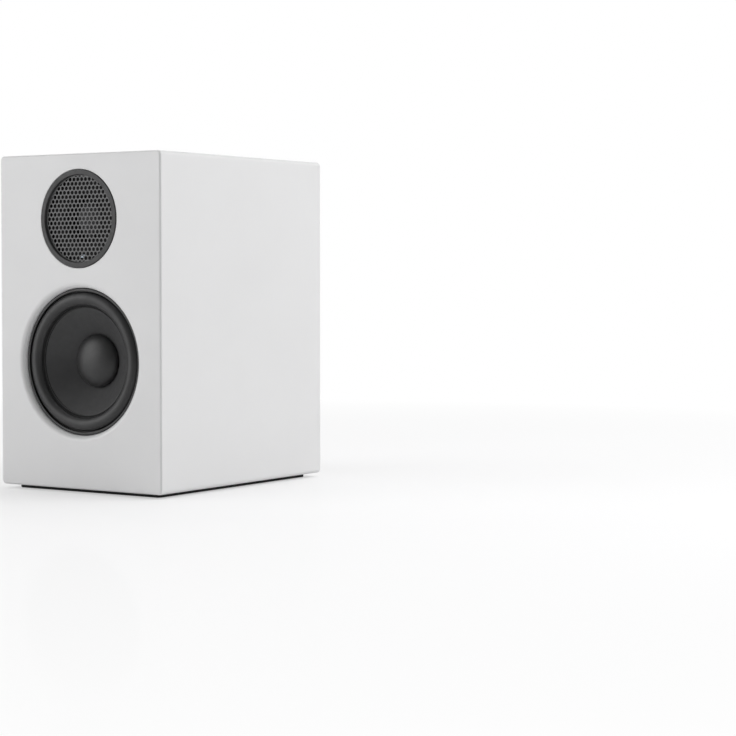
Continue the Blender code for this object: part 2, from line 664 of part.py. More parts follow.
def build_frame(axis, steel):
    """The basket, with windows through its cone wall and blind screw holes."""
    frame = place("woofer_frame", turned(frame_profile(), LARGE_ROUND), steel, parent=axis)
    window_start = WOOFER_REBATE + WINDOW_SILL
    window_end = WOOFER_PLATE_DEPTH - SPIDER_ABOVE_PLATE - WINDOW_HEAD
    low = (-WINDOW_WIDTH / 2.0, -WOOFER_RADIUS, window_start)
    high = (WINDOW_WIDTH / 2.0, WOOFER_RADIUS, window_end)
    for index in range(WINDOW_COUNT):
        turn = (0.0, 0.0, math.pi * index / WINDOW_COUNT)
        boolean(frame, cutter(f"window_{index + 1}", slab(low, high), rotation=turn, parent=axis))
    bottom = FLANGE_DEPTH + FRAME_FLANGE - SCREW_BITE - GAP
    for index, (x, y) in enumerate(woofer_screw_places()):
        hole = rod(SCREW_RADIUS + GAP, bottom, FLANGE_DEPTH + FRAME_FLANGE + OVERSHOOT, 12)
        boolean(frame, cutter(f"flange_hole_{index + 1}", hole, (x, y, 0.0), parent=axis))


def build_woofer_motor(axis, steel, ferrite):
    """Front plate, ring magnet and the yoke whose pole stands in the coil."""
    plate_end = WOOFER_PLATE_DEPTH + WOOFER_PLATE_THICKNESS
    bore = COIL_OUTER + COIL_AIR
    shape = ring(bore, WOOFER_PLATE_RADIUS, WOOFER_PLATE_DEPTH, plate_end, MEDIUM_ROUND)
    place("woofer_top_plate", shape, steel, parent=axis)
    start = plate_end + GAP
    end = start + WOOFER_MAGNET_THICKNESS
    shape = ring(WOOFER_MAGNET_BORE, WOOFER_MAGNET_RADIUS, start, end, MEDIUM_ROUND)
    place("woofer_magnet", shape, ferrite, parent=axis)
    yoke = end + GAP
    profile = [
        (WOOFER_VENT, WOOFER_PLATE_DEPTH), (WOOFER_POLE_RADIUS, WOOFER_PLATE_DEPTH),
        (WOOFER_POLE_RADIUS, yoke), (WOOFER_PLATE_RADIUS, yoke),
        (WOOFER_PLATE_RADIUS, yoke + WOOFER_YOKE_THICKNESS),
        (WOOFER_VENT, yoke + WOOFER_YOKE_THICKNESS),
    ]
    place("woofer_yoke", turned(profile, MEDIUM_ROUND), steel, parent=axis)


def screw(head_start, direction, length):
    """A pan-head screw along Z; its shank runs the way direction (+1 or -1) says."""
    head_end = head_start - direction * SCREW_HEAD_HEIGHT
    tip = head_start + direction * length
    profile = [
        (0.0, head_end), (SCREW_HEAD_RADIUS * 0.8, head_end),
        (SCREW_HEAD_RADIUS, head_end + direction * SCREW_HEAD_HEIGHT * 0.5),
        (SCREW_HEAD_RADIUS, head_start), (SCREW_RADIUS, head_start),
        (SCREW_RADIUS, tip), (0.0, tip),
    ]
    return turned(profile, 12)


def build_woofer(rubber, cone_skin, cap_skin, cloth, steel, ferrite, copper, paper, plain):
    """The whole woofer, front to back. What moves is parented to its own empty."""
    axis = axis_empty("woofer_axis", (0.0, FRONT_Y, WOOFER_Z))
    moving = axis_empty("woofer_travel", (0.0, FRONT_Y, WOOFER_Z))
    edge = 0.6 * MM
    face = WOOFER_RECESS
    profile = [
        (TRIM_INNER, face + edge), (TRIM_INNER + edge, face), (WOOFER_RADIUS - edge, face),
        (WOOFER_RADIUS, face + edge), (WOOFER_RADIUS, face + TRIM_THICKNESS),
        (TRIM_INNER, face + TRIM_THICKNESS),
    ]
    place("woofer_trim_ring", turned(profile, LARGE_ROUND), plain, parent=axis)
    place("woofer_surround", turned(half_roll_profile(), LARGE_ROUND), rubber, parent=axis)
    place("woofer_cone", turned(cone_profile(), LARGE_ROUND), cone_skin, parent=moving)
    place("woofer_dust_cap", turned(cap_profile(), MEDIUM_ROUND), cap_skin, parent=moving)
    inner = COIL_RADIUS - FORMER_SKIN
    shape = ring(inner, COIL_RADIUS, FORMER_START, FORMER_END, MEDIUM_ROUND)
    place("woofer_coil_former", shape, paper, parent=moving)
    shape = ring(COIL_RADIUS + GAP, COIL_OUTER, COIL_END - COIL_LENGTH, COIL_END, MEDIUM_ROUND)
    place("woofer_voice_coil", shape, copper, parent=moving)
    place("woofer_spider", turned(spider_profile(), MEDIUM_ROUND), cloth, parent=axis)
    build_frame(axis, steel)
    build_woofer_motor(axis, steel, ferrite)
    strip_y = SPIDER_RADIUS - SPIDER_LEDGE + LEDGE_OVERLAP + FRAME_SKIN + SHADOW
    strip_end = WOOFER_PLATE_DEPTH - GAP
    low = (-STRIP_WIDTH / 2.0, strip_y, strip_end - STRIP_DEPTH)
    high = (STRIP_WIDTH / 2.0, strip_y + STRIP_HEIGHT, strip_end)
    place("woofer_terminal_strip", slab(low, high), plain, parent=axis)
    head = BAFFLE_THICKNESS + GAP
    tip = FLANGE_DEPTH + FRAME_FLANGE - SCREW_BITE
    for index, (x, y) in enumerate(woofer_screw_places()):
        place(f"woofer_screw_{index + 1}", screw(head, -1.0, head - tip), steel, (x, y, 0.0), parent=axis)


# ----------------------------------------------------------------------- tweeter
def faceplate_profile():
    """Cross-section of the tweeter's face: bezel, mesh seat, horn and rear collar."""
    face = -TWEETER_PROUD
    edge = 0.4 * MM
    seat = face + MESH_RECESS + MESH_THICKNESS + GAP
    throat = DOME_RADIUS + DOME_ROLL_WIDTH - THROAT_LAP
    throat_depth = DOME_FOOT_DEPTH - THROAT_SPACE
    pocket = DOME_RADIUS + DOME_ROLL_WIDTH + DOME_LANDING + SHADOW
    motor_seat = DOME_FOOT_DEPTH + DOME_SKIN
    flat_end = HORN_FLAT_DEPTH + HORN_FLAT_FALL
    profile = [
        (TWEETER_RADIUS, face + edge), (TWEETER_RADIUS - edge, face),
        (BEZEL_INNER + edge, face), (BEZEL_INNER, face + edge), (BEZEL_INNER, seat),
        (BEZEL_INNER - MESH_LEDGE, seat), (HORN_FLAT_OUTER, HORN_FLAT_DEPTH),
    ]
    reach = (throat - HORN_FLAT_INNER, flat_end - throat_depth)
    profile += arc((HORN_FLAT_INNER, throat_depth), reach, 90.0, 0.0, 5)
    profile += [
        (throat, throat_depth + SHADOW), (pocket, throat_depth + SHADOW), (pocket, motor_seat),
        (pocket + POCKET_WALL, motor_seat), (pocket + POCKET_WALL, throat_depth),
        (HORN_FLAT_INNER + 1.0 * MM, flat_end + HORN_SHELL),
        (COLLAR_RADIUS - COLLAR_WALL, HORN_FLAT_DEPTH + HORN_SHELL),
        (COLLAR_RADIUS - COLLAR_WALL, COLLAR_DEPTH), (COLLAR_RADIUS, COLLAR_DEPTH),
        (COLLAR_RADIUS, TWEETER_FLANGE), (TWEETER_RADIUS, TWEETER_FLANGE),
    ]
    return profile


def dome_profile():
    """Cross-section of the soft dome down to the ring that carries its coil."""
    outer, inner = [], []
    steps = 5
    for index in range(steps):
        angle = index / steps * math.pi / 2.0
        outer.append((DOME_RADIUS * math.cos(angle), DOME_FOOT_DEPTH - DOME_HEIGHT * math.sin(angle)))
        inside = DOME_RADIUS - DOME_SKIN
        inner_height = DOME_HEIGHT - DOME_SKIN
        inner.append((inside * math.cos(angle), DOME_FOOT_DEPTH - inner_height * math.sin(angle)))
    outer.append((0.0, DOME_FOOT_DEPTH - DOME_HEIGHT))
    inner.append((0.0, DOME_FOOT_DEPTH - DOME_HEIGHT + DOME_SKIN))
    return outer + list(reversed(inner))


def suspension_profile():
    """Cross-section of the small half roll round the dome, with its flat landing."""
    start = DOME_RADIUS + GAP
    width = DOME_ROLL_WIDTH - GAP
    middle = start + width / 2.0
    skin = 0.4 * MM
    depth = DOME_FOOT_DEPTH
    landing = DOME_RADIUS + DOME_ROLL_WIDTH + DOME_LANDING
    profile = [(landing, depth + skin), (landing, depth)]
    profile += arc((middle, depth), (width / 2.0, -width / 2.0), 0.0, 180.0, 4)
    profile += arc((middle, depth + skin), (width / 2.0 - skin, skin - width / 2.0), 180.0, 0.0, 4)
    return profile


def build_tweeter(plain, metal, silk, steel, ferrite, copper, lens):
    """The tweeter with its face, mesh, dome, motor, clamp ring and light guide."""
    axis = axis_empty("tweeter_axis", (0.0, FRONT_Y, TWEETER_Z))
    moving = axis_empty("tweeter_travel", (0.0, FRONT_Y, TWEETER_Z))
    face = place("tweeter_faceplate", turned(faceplate_profile(), LARGE_ROUND), plain, parent=axis)
    guide_hole = rod(LED_RADIUS + GAP, 0.0, COLLAR_DEPTH, 12)
    boolean(face, cutter("guide_hole", guide_hole, (0.0, LED_DROP, 0.0), parent=axis))
    mesh_face = MESH_RECESS - TWEETER_PROUD
    shape = rod(BEZEL_INNER - GAP, mesh_face, mesh_face + MESH_THICKNESS, LARGE_ROUND)
    place("tweeter_grille", shape, metal, parent=axis)
    place("tweeter_dome", turned(dome_profile(), MEDIUM_ROUND), silk, parent=moving)
    place("tweeter_suspension", turned(suspension_profile(), MEDIUM_ROUND), silk, parent=axis)
    coil_outer = DOME_RADIUS
    coil_start = DOME_FOOT_DEPTH + GAP
    coil_end = coil_start + TWEETER_COIL_LENGTH
    shape = ring(coil_outer - TWEETER_COIL_SKIN, coil_outer, coil_start, coil_end, MEDIUM_ROUND)
    place("tweeter_voice_coil", shape, copper, parent=moving)
    plate = DOME_FOOT_DEPTH + DOME_SKIN + GAP
    plate_end = plate + TWEETER_PLATE_THICKNESS
    shape = ring(coil_outer + COIL_AIR, TWEETER_PLATE_RADIUS, plate, plate_end, MEDIUM_ROUND)
    place("tweeter_top_plate", shape, steel, parent=axis)
    magnet_end = plate_end + GAP + TWEETER_MAGNET_THICKNESS
    bore = coil_outer + COIL_AIR + 2.0 * MM
    shape = ring(bore, TWEETER_MAGNET_RADIUS, plate_end + GAP, magnet_end, MEDIUM_ROUND)
    place("tweeter_magnet", shape, ferrite, parent=axis)
    pole = coil_outer - TWEETER_COIL_SKIN - COIL_AIR
    yoke = magnet_end + GAP
    yoke_end = yoke + TWEETER_YOKE_THICKNESS
    profile = [
        (TWEETER_VENT, plate), (pole, plate), (pole, yoke), (TWEETER_PLATE_RADIUS, yoke),
        (TWEETER_PLATE_RADIUS, yoke_end), (TWEETER_VENT, yoke_end),
    ]
    place("tweeter_yoke", turned(profile, MEDIUM_ROUND), steel, parent=axis)
    start = BAFFLE_THICKNESS + GAP
    shape = ring(COLLAR_RADIUS + GAP, CLAMP_RADIUS, start, start + CLAMP_THICKNESS, LARGE_ROUND)
    place("tweeter_clamp_ring", shape, plain, parent=axis)
    tip = mesh_face + MESH_THICKNESS + GAP
    shell_back = HORN_FLAT_DEPTH + HORN_FLAT_FALL + HORN_SHELL + GAP
    profile = [
        (0.0, tip), (LED_RADIUS * 0.7, tip + 0.3 * MM), (LED_RADIUS, tip + 1.0 * MM),
        (LED_RADIUS, shell_back), (LED_FLANGE, shell_back), (LED_FLANGE, shell_back + LED_TAIL),
        (0.0, shell_back + LED_TAIL),
    ]
    place("status_led", turned(profile, 12), lens, (0.0, LED_DROP, 0.0), parent=axis)


# -------------------------------------------------------------------- reflex port
def build_port(plain):
    """Flared tube through the rear panel."""
    outer = PORT_RADIUS + PORT_WALL
    lip = GAP + PORT_FLANGE
    inner_end = -PORT_LENGTH
    profile = [(outer, GAP), (PORT_FLANGE_RADIUS, GAP), (PORT_FLANGE_RADIUS, lip - PORT_EDGE),
               (PORT_FLANGE_RADIUS - PORT_EDGE, lip)]
    centre = (PORT_RADIUS + PORT_FLARE, lip - PORT_FLARE)
    profile += arc(centre, (PORT_FLARE, PORT_FLARE), 90.0, 180.0, 4)
    profile += [(PORT_RADIUS, inner_end), (outer, inner_end)]
    place("port_tube", turned(profile, MEDIUM_ROUND), plain, (0.0, REAR_Y, PORT_Z), ALONG_Y)


# --------------------------------------------------------------- amplifier module
def plate_screw_places():
    """The four corner screws of the amplifier plate, as (x, up from its centre)."""
    x = PLATE_WIDTH / 2.0 - PLATE_SCREW_INSET
    up = PLATE_HEIGHT / 2.0 - PLATE_SCREW_INSET
    return ((-x, up), (x, up), (x, -up), (-x, -up))


def on_plate(spot):
    """World place of a spot on the amplifier plate's outer face."""
    return (spot[0], PLATE_Y, PLATE_Z + spot[1])


def cut_plate(plate):
    """Holes of the amplifier plate."""
    through = -PLATE_THICKNESS - OVERSHOOT
    round_holes = [("bush", KNOB_PLACE, SHAFT_RADIUS + GAP + BUSH_WALL + GAP)]
    round_holes += [("button", BUTTON_PLACE, BUTTON_RADIUS + GAP)]
    for index, spot in enumerate(JACK_PLACES):
        round_holes.append((f"jack_{index + 1}", spot, JACK_RADIUS + GAP))
    for index, spot in enumerate(POST_PLACES):
        round_holes.append((f"post_{index + 1}", spot, POST_IN_RADIUS + GAP))
    round_holes += [
        (f"screw_{index + 1}", spot, SCREW_RADIUS + GAP) for index, spot in enumerate(plate_screw_places())
    ]
    for name, spot, radius in round_holes:
        tool = cutter("plate_" + name, rod(radius, through, OVERSHOOT), on_plate(spot), ALONG_Y)
        boolean(plate, tool)
    square_holes = [
        ("switch", ROCKER_PLACE, rectangle(SWITCH_WIDTH / 2.0 + GAP, SWITCH_HEIGHT / 2.0 + GAP)),
        ("inlet", INLET_PLACE, rectangle(INLET_WIDTH / 2.0 + GAP, INLET_HEIGHT / 2.0 + GAP, INLET_CORNER)),
    ]
    for name, spot, outline in square_holes:
        tool = cutter("plate_" + name, prism(outline, through, OVERSHOOT), on_plate(spot), ALONG_Y)
        boolean(plate, tool)


def build_plate(painted, steel):
    """The amplifier plate with its board pillars, and the screws that hold it."""
    outline = rectangle(PLATE_WIDTH / 2.0, PLATE_HEIGHT / 2.0, PLATE_CORNER)
    plate = place(
        "amp_plate", prism(outline, -PLATE_THICKNESS, 0.0), painted, on_plate((0.0, 0.0)), ALONG_Y,
    )
    x = MODULE_HALF_WIDTH - PILLAR_INSET
    up = MODULE_HALF_HEIGHT - PILLAR_INSET
    for index, spot in enumerate(((-x, up), (x, up), (x, -up), (-x, -up))):
        pillar = rod(PILLAR_RADIUS, -PLATE_THICKNESS - PILLAR_LENGTH, -PLATE_THICKNESS / 2.0, 12)
        boolean(plate, cutter(f"pillar_{index + 1}", pillar, on_plate(spot), ALONG_Y), "UNION")
    cut_plate(plate)
    for index, spot in enumerate(plate_screw_places()):
        shape = screw(GAP, -1.0, PLATE_SCREW_LENGTH - GAP)
        place(f"plate_screw_{index + 1}", shape, steel, on_plate(spot), ALONG_Y)


def build_heat_sink(anodised):
    """A finned block flat on the plate."""
    half = SINK_WIDTH / 2.0
    pitch = (SINK_WIDTH - SINK_FIN_WIDTH) / (SINK_FINS - 1)
    outline = [(-half, GAP), (half, GAP)]
    for index in reversed(range(SINK_FINS)):
        left = -half + index * pitch
        right = left + SINK_FIN_WIDTH
        if index < SINK_FINS - 1:
            outline.append((right, GAP + SINK_BASE))
        outline += [(right, GAP + SINK_DEPTH), (left, GAP + SINK_DEPTH)]
        if index > 0:
            outline.append((left, GAP + SINK_BASE))
    spot = on_plate((SINK_PLACE[0], SINK_PLACE[1]))
    shape = prism(outline, -SINK_HEIGHT / 2.0, SINK_HEIGHT / 2.0)
    place("heat_sink", shape, anodised, spot)


def build_board(green, winding):
    """The circuit board on its pillars, and the ring transformer on it."""
    outline = rectangle(MODULE_HALF_WIDTH - BOARD_CLEARANCE, MODULE_HALF_HEIGHT - BOARD_CLEARANCE)
    place("main_board", prism(outline, -BOARD_THICKNESS, 0.0), green, (0.0, BOARD_Y, PLATE_Z), ALONG_Y)
    round_edge = 5.0 * MM
    end = -BOARD_THICKNESS - GAP
    start = end - TRANSFORMER_HEIGHT
    outer, inner = TRANSFORMER_RADIUS, TRANSFORMER_BORE
    profile = [
        (inner, start + round_edge), (inner + round_edge, start), (outer - round_edge, start),
        (outer, start + round_edge), (outer, end - round_edge), (outer - round_edge, end),
        (inner + round_edge, end), (inner, end - round_edge),
    ]
    spot = (TRANSFORMER_PLACE[0], BOARD_Y, PLATE_Z + TRANSFORMER_PLACE[1])
    place("transformer", turned(profile, MEDIUM_ROUND), winding, spot, ALONG_Y)


def build_volume(plain, metal):
    """Volume control: the body with its bush, the shaft and the knob."""
    where = on_plate(KNOB_PLACE)
    bush_inner = SHAFT_RADIUS + GAP
    bush = bush_inner + BUSH_WALL
    back = -PLATE_THICKNESS - GAP
    floor = back - POT_DEPTH
    pot = place(
        "volume_pot", prism(rectangle(POT_SIZE / 2.0, POT_SIZE / 2.0), floor, back),
        metal, where, ALONG_Y,
    )
    boolean(pot, cutter("bush", rod(bush, back - 1.0 * MM, BUSH_OUT), where, ALONG_Y), "UNION")
    shaft_end = back - SHAFT_IN
    bore = rod(bush_inner, shaft_end - GAP, BUSH_OUT + OVERSHOOT)
    boolean(pot, cutter("bush_bore", bore, where, ALONG_Y))
    turning = axis_empty("volume_turn_axis", where)
    place("volume_shaft", rod(SHAFT_RADIUS, shaft_end, SHAFT_OUT), metal, parent=turning)
    start = BUSH_OUT + GAP
    outline = fluted(KNOB_RADIUS, KNOB_FLUTE_DEPTH, KNOB_FLUTES)
    knob = place("volume_knob", prism(outline, start, start + KNOB_HEIGHT), plain, parent=turning)
    pocket = rod(SHAFT_RADIUS + GAP, start - OVERSHOOT, start + KNOB_POCKET)
    boolean(knob, cutter("knob_pocket", pocket, parent=turning))
    half = KNOB_MARK_WIDTH / 2.0
    mark = slab((-half, KNOB_MARK_INSET - KNOB_RADIUS, start + KNOB_HEIGHT - KNOB_MARK_DEPTH),
                (half, -KNOB_RADIUS * 0.4, start + KNOB_HEIGHT + OVERSHOOT))
    boolean(knob, cutter("knob_mark", mark, parent=turning))


def build_button(plain):
    """The spring-back input button, kept in by a lip behind the plate."""
    lip_front = -PLATE_THICKNESS - GAP
    lip_back = lip_front - BUTTON_LIP_THICKNESS
    stem_end = -PLATE_THICKNESS - PILLAR_LENGTH + BUTTON_TRAVEL + BUTTON_TO_BOARD
    edge = 0.4 * MM
    profile = [
        (0.0, BUTTON_OUT), (BUTTON_RADIUS - edge, BUTTON_OUT), (BUTTON_RADIUS, BUTTON_OUT - edge),
        (BUTTON_RADIUS, lip_front), (BUTTON_RADIUS + BUTTON_LIP, lip_front),
        (BUTTON_RADIUS + BUTTON_LIP, lip_back), (BUTTON_STEM, lip_back),
        (BUTTON_STEM, stem_end), (0.0, stem_end),
    ]
    place("input_button", turned(profile, SMALL_ROUND), plain, on_plate(BUTTON_PLACE), ALONG_Y)


def build_switch(plain):
    """Mains switch: a boxed frame and the rocker that tilts in it."""
    where = on_plate(ROCKER_PLACE)
    lip_outline = rectangle(SWITCH_WIDTH / 2.0 + SWITCH_LIP, SWITCH_HEIGHT / 2.0 + SWITCH_LIP)
    body = place(
        "power_switch_body", prism(lip_outline, GAP, GAP + SWITCH_LIP_HEIGHT), plain, where, ALONG_Y,
    )
    inside = rectangle(SWITCH_WIDTH / 2.0, SWITCH_HEIGHT / 2.0)
    box = prism(inside, -SWITCH_DEPTH, GAP + SWITCH_LIP_HEIGHT / 2.0)
    boolean(body, cutter("switch_box", box, where, ALONG_Y), "UNION")
    well = rectangle(SWITCH_WIDTH / 2.0 - SWITCH_WALL, SWITCH_HEIGHT / 2.0 - SWITCH_WALL)
    well = prism(well, -SWITCH_DEPTH + SWITCH_WALL, SWITCH_LIP_HEIGHT + OVERSHOOT)
    boolean(body, cutter("switch_well", well, where, ALONG_Y))
    half_x = SWITCH_WIDTH / 2.0 - SWITCH_WALL - ROCKER_CLEARANCE
    half_y = SWITCH_HEIGHT / 2.0 - SWITCH_WALL - ROCKER_CLEARANCE
    tilt = axis_empty("rocker_axis", (where[0], where[1], where[2]))
    tilt.rotation_euler = (ALONG_Y[0], 0.0, ROCKER_TILT)
    outline = [(-half_x, ROCKER_OUT)]
    for share in (-0.5, 0.0, 0.5):
        outline.append((half_x * share, ROCKER_OUT - ROCKER_DISH * (1.0 - abs(share))))
    outline += [(half_x, ROCKER_OUT), (half_x, 0.0)]
    outline += [(half_x * 0.5, -ROCKER_DEPTH), (-half_x * 0.5, -ROCKER_DEPTH),
                (-half_x, 0.0)]
    shape = prism(outline, -half_y, half_y)
    place("power_rocker", shape, plain, rotation=(math.pi / 2.0, 0.0, 0.0), parent=tilt)


def build_inlet(plain):
    """Mains inlet: a deep keyed socket with three pins on its floor."""
    where = on_plate(INLET_PLACE)
    lip = rectangle(INLET_WIDTH / 2.0 + INLET_LIP, INLET_HEIGHT / 2.0 + INLET_LIP, INLET_CORNER)
    inlet = place("mains_inlet", prism(lip, GAP, GAP + INLET_LIP_HEIGHT), plain, where, ALONG_Y)
    body = rectangle(INLET_WIDTH / 2.0, INLET_HEIGHT / 2.0, INLET_CORNER)
    body = prism(body, -INLET_DEPTH, GAP + INLET_LIP_HEIGHT / 2.0)
    boolean(inlet, cutter("inlet_body", body, where, ALONG_Y), "UNION")
    corner = INLET_CORNER - INLET_WALL / 2.0
    well = rectangle(INLET_WIDTH / 2.0 - INLET_WALL, INLET_HEIGHT / 2.0 - INLET_WALL, corner)
    well = prism(well, -INLET_DEPTH + INLET_FLOOR, INLET_LIP_HEIGHT + OVERSHOOT)
    boolean(inlet, cutter("inlet_well", well, where, ALONG_Y))
    floor = -INLET_DEPTH + INLET_FLOOR
    spots = ((-PIN_SPACING, PIN_OFFSET), (0.0, -PIN_OFFSET), (PIN_SPACING, PIN_OFFSET))
    for index, (x, y) in enumerate(spots):
        low = (x - PIN_WIDTH / 2.0, y - PIN_HEIGHT / 2.0, floor - INLET_FLOOR / 2.0)
        high = (x + PIN_WIDTH / 2.0, y + PIN_HEIGHT / 2.0, floor + PIN_LENGTH)
        boolean(inlet, cutter(f"pin_{index + 1}", slab(low, high), where, ALONG_Y), "UNION")


def build_jacks(metal):
    """Two line-level input jacks."""
    profile = [
        (0.0, GAP + JACK_SOCKET_FLOOR), (JACK_SOCKET, GAP + JACK_SOCKET_FLOOR),
        (JACK_SOCKET, JACK_OUT - JACK_CORE_DROP), (JACK_CORE, JACK_OUT - JACK_CORE_DROP),
        (JACK_CORE, GAP + JACK_FLOOR),
        (JACK_RADIUS - JACK_WALL, GAP + JACK_FLOOR), (JACK_RADIUS - JACK_WALL, JACK_OUT),
        (JACK_RADIUS, JACK_OUT), (JACK_RADIUS, GAP + JACK_FLANGE_HEIGHT),
        (JACK_FLANGE, GAP + JACK_FLANGE_HEIGHT), (JACK_FLANGE, GAP), (JACK_RADIUS, GAP),
        (JACK_RADIUS, -PLATE_THICKNESS - JACK_IN), (0.0, -PLATE_THICKNESS - JACK_IN),
    ]
    for side, spot in zip(("left", "right"), JACK_PLACES):
        place(f"input_jack_{side}", turned(profile, SMALL_ROUND), metal, on_plate(spot), ALONG_Y)


def build_posts(plastics, gold):
    """Two loudspeaker binding posts: base with hollow stud, clamp washer, screw cap."""
    collar = GAP + POST_COLLAR
    profile = [
        (0.0, POST_STUD_OUT - POST_SOCKET_DEPTH), (POST_SOCKET, POST_STUD_OUT - POST_SOCKET_DEPTH),
        (POST_SOCKET, POST_STUD_OUT), (POST_STUD_RADIUS, POST_STUD_OUT),
        (POST_STUD_RADIUS, collar), (POST_RADIUS, collar), (POST_RADIUS, GAP),
        (POST_IN_RADIUS, GAP), (POST_IN_RADIUS, -PLATE_THICKNESS - POST_IN),
        (0.0, -PLATE_THICKNESS - POST_IN),
    ]
    bore = POST_STUD_RADIUS + GAP
    washer_start = collar + GAP
    cap_start = washer_start + POST_WASHER + GAP
    cap_end = cap_start + POST_CAP_HEIGHT
    for colour, spot in zip(("red", "black"), POST_PLACES):
        where = on_plate(spot)
        place(f"post_base_{colour}", turned(profile, SMALL_ROUND), gold, where, ALONG_Y)
        slide = axis_empty(f"post_axis_{colour}", where)
        washer_radius = POST_RADIUS - POST_WASHER_INSET
        washer = ring(bore, washer_radius, washer_start, washer_start + POST_WASHER, SMALL_ROUND)
        place(f"post_washer_{colour}", washer, gold, parent=slide)
        shape = prism(fluted(POST_RADIUS, POST_CAP_FLUTE_DEPTH, POST_CAP_FLUTES), cap_start, cap_end)
        cap = place(f"post_cap_{colour}", shape, plastics[colour], parent=slide)
        tool = rod(bore, cap_start - OVERSHOOT, cap_end + OVERSHOOT)
        boolean(cap, cutter(f"cap_bore_{colour}", tool, parent=slide))


# ----------------------------------------------------------------- internal leads
def smooth_route(points, steps):
    """Points along a Catmull-Rom curve through the route's own points."""
    padded = [points[0] * 2.0 - points[1]] + points + [points[-1] * 2.0 - points[-2]]
    route = []
    for index in range(1, len(padded) - 2):
        before, start, end, after = padded[index - 1:index + 3]
        for step in range(steps):
            t = step / steps
            route.append(0.5 * (
                2.0 * start + (end - before) * t
                + (2.0 * before - 5.0 * start + 4.0 * end - after) * t ** 2
                + (3.0 * start - before - 3.0 * end + after) * t ** 3
            ))
    route.append(points[-1])
    return route


def build_lead(name, points, sheath):
    """A twin lead as a round tube along its route, with closed ends."""
    curve = bpy.data.curves.new(name, "CURVE")
    curve.dimensions = "3D"
    curve.bevel_depth = LEAD_RADIUS
    curve.bevel_resolution = 2
    curve.use_fill_caps = True
    route = smooth_route(points, 4)
    spline = curve.splines.new("POLY")
    spline.points.add(len(route) - 1)
    for target, point in zip(spline.points, route):
        target.co = (*point, 1.0)
    curve.materials.append(sheath)
    made = bpy.data.objects.new(name, curve)
    bpy.context.collection.objects.link(made)


def build_leads(sheath):
    """The leads from the circuit board to the two drivers."""
    board_face = BOARD_Y - BOARD_THICKNESS - GAP
    strip_y = FRONT_Y + WOOFER_PLATE_DEPTH - GAP - STRIP_DEPTH / 2.0
    strip_drop = SPIDER_RADIUS - SPIDER_LEDGE + LEDGE_OVERLAP + FRAME_SKIN + SHADOW + STRIP_HEIGHT
    strip_z = WOOFER_Z - strip_drop - GAP
    floor = INNER_BOTTOM + 6.0 * MM
    out = Vector((0.0, -8.0 * MM, 0.0))
    start = Vector((-30.0 * MM, board_face, PLATE_Z - 30.0 * MM))
    build_lead("woofer_lead", [
        start, start + out, start + 2.2 * out + Vector((2.0 * MM, 0.0, -6.0 * MM)),
        Vector((-24.0 * MM, board_face - 54.0 * MM, floor + 6.0 * MM)),
        Vector((-14.0 * MM, board_face - 80.0 * MM, floor)),
        Vector((-3.0 * MM, strip_y + 6.0 * MM, strip_z - 30.0 * MM)),
        Vector((0.0, strip_y, strip_z - 12.0 * MM)), Vector((0.0, strip_y, strip_z)),
    ], sheath)
    yoke = FRONT_Y + DOME_FOOT_DEPTH + DOME_SKIN + TWEETER_PLATE_THICKNESS + TWEETER_MAGNET_THICKNESS
    yoke += TWEETER_YOKE_THICKNESS + 3.0 * GAP
    tail = Vector((-16.0 * MM, yoke + GAP, TWEETER_Z - 10.0 * MM))
    start = Vector((-30.0 * MM, board_face, PLATE_Z + 30.0 * MM))
    build_lead("tweeter_lead", [
        start, start + out, start + 2.2 * out + Vector((-2.0 * MM, 0.0, 8.0 * MM)),
        Vector((-34.0 * MM, board_face - 40.0 * MM, start.z + 34.0 * MM)),
        tail + Vector((-12.0 * MM, 48.0 * MM, -8.0 * MM)), tail + Vector((-3.0 * MM, 20.0 * MM, -2.0 * MM)),
        tail - out, tail,
    ], sheath)


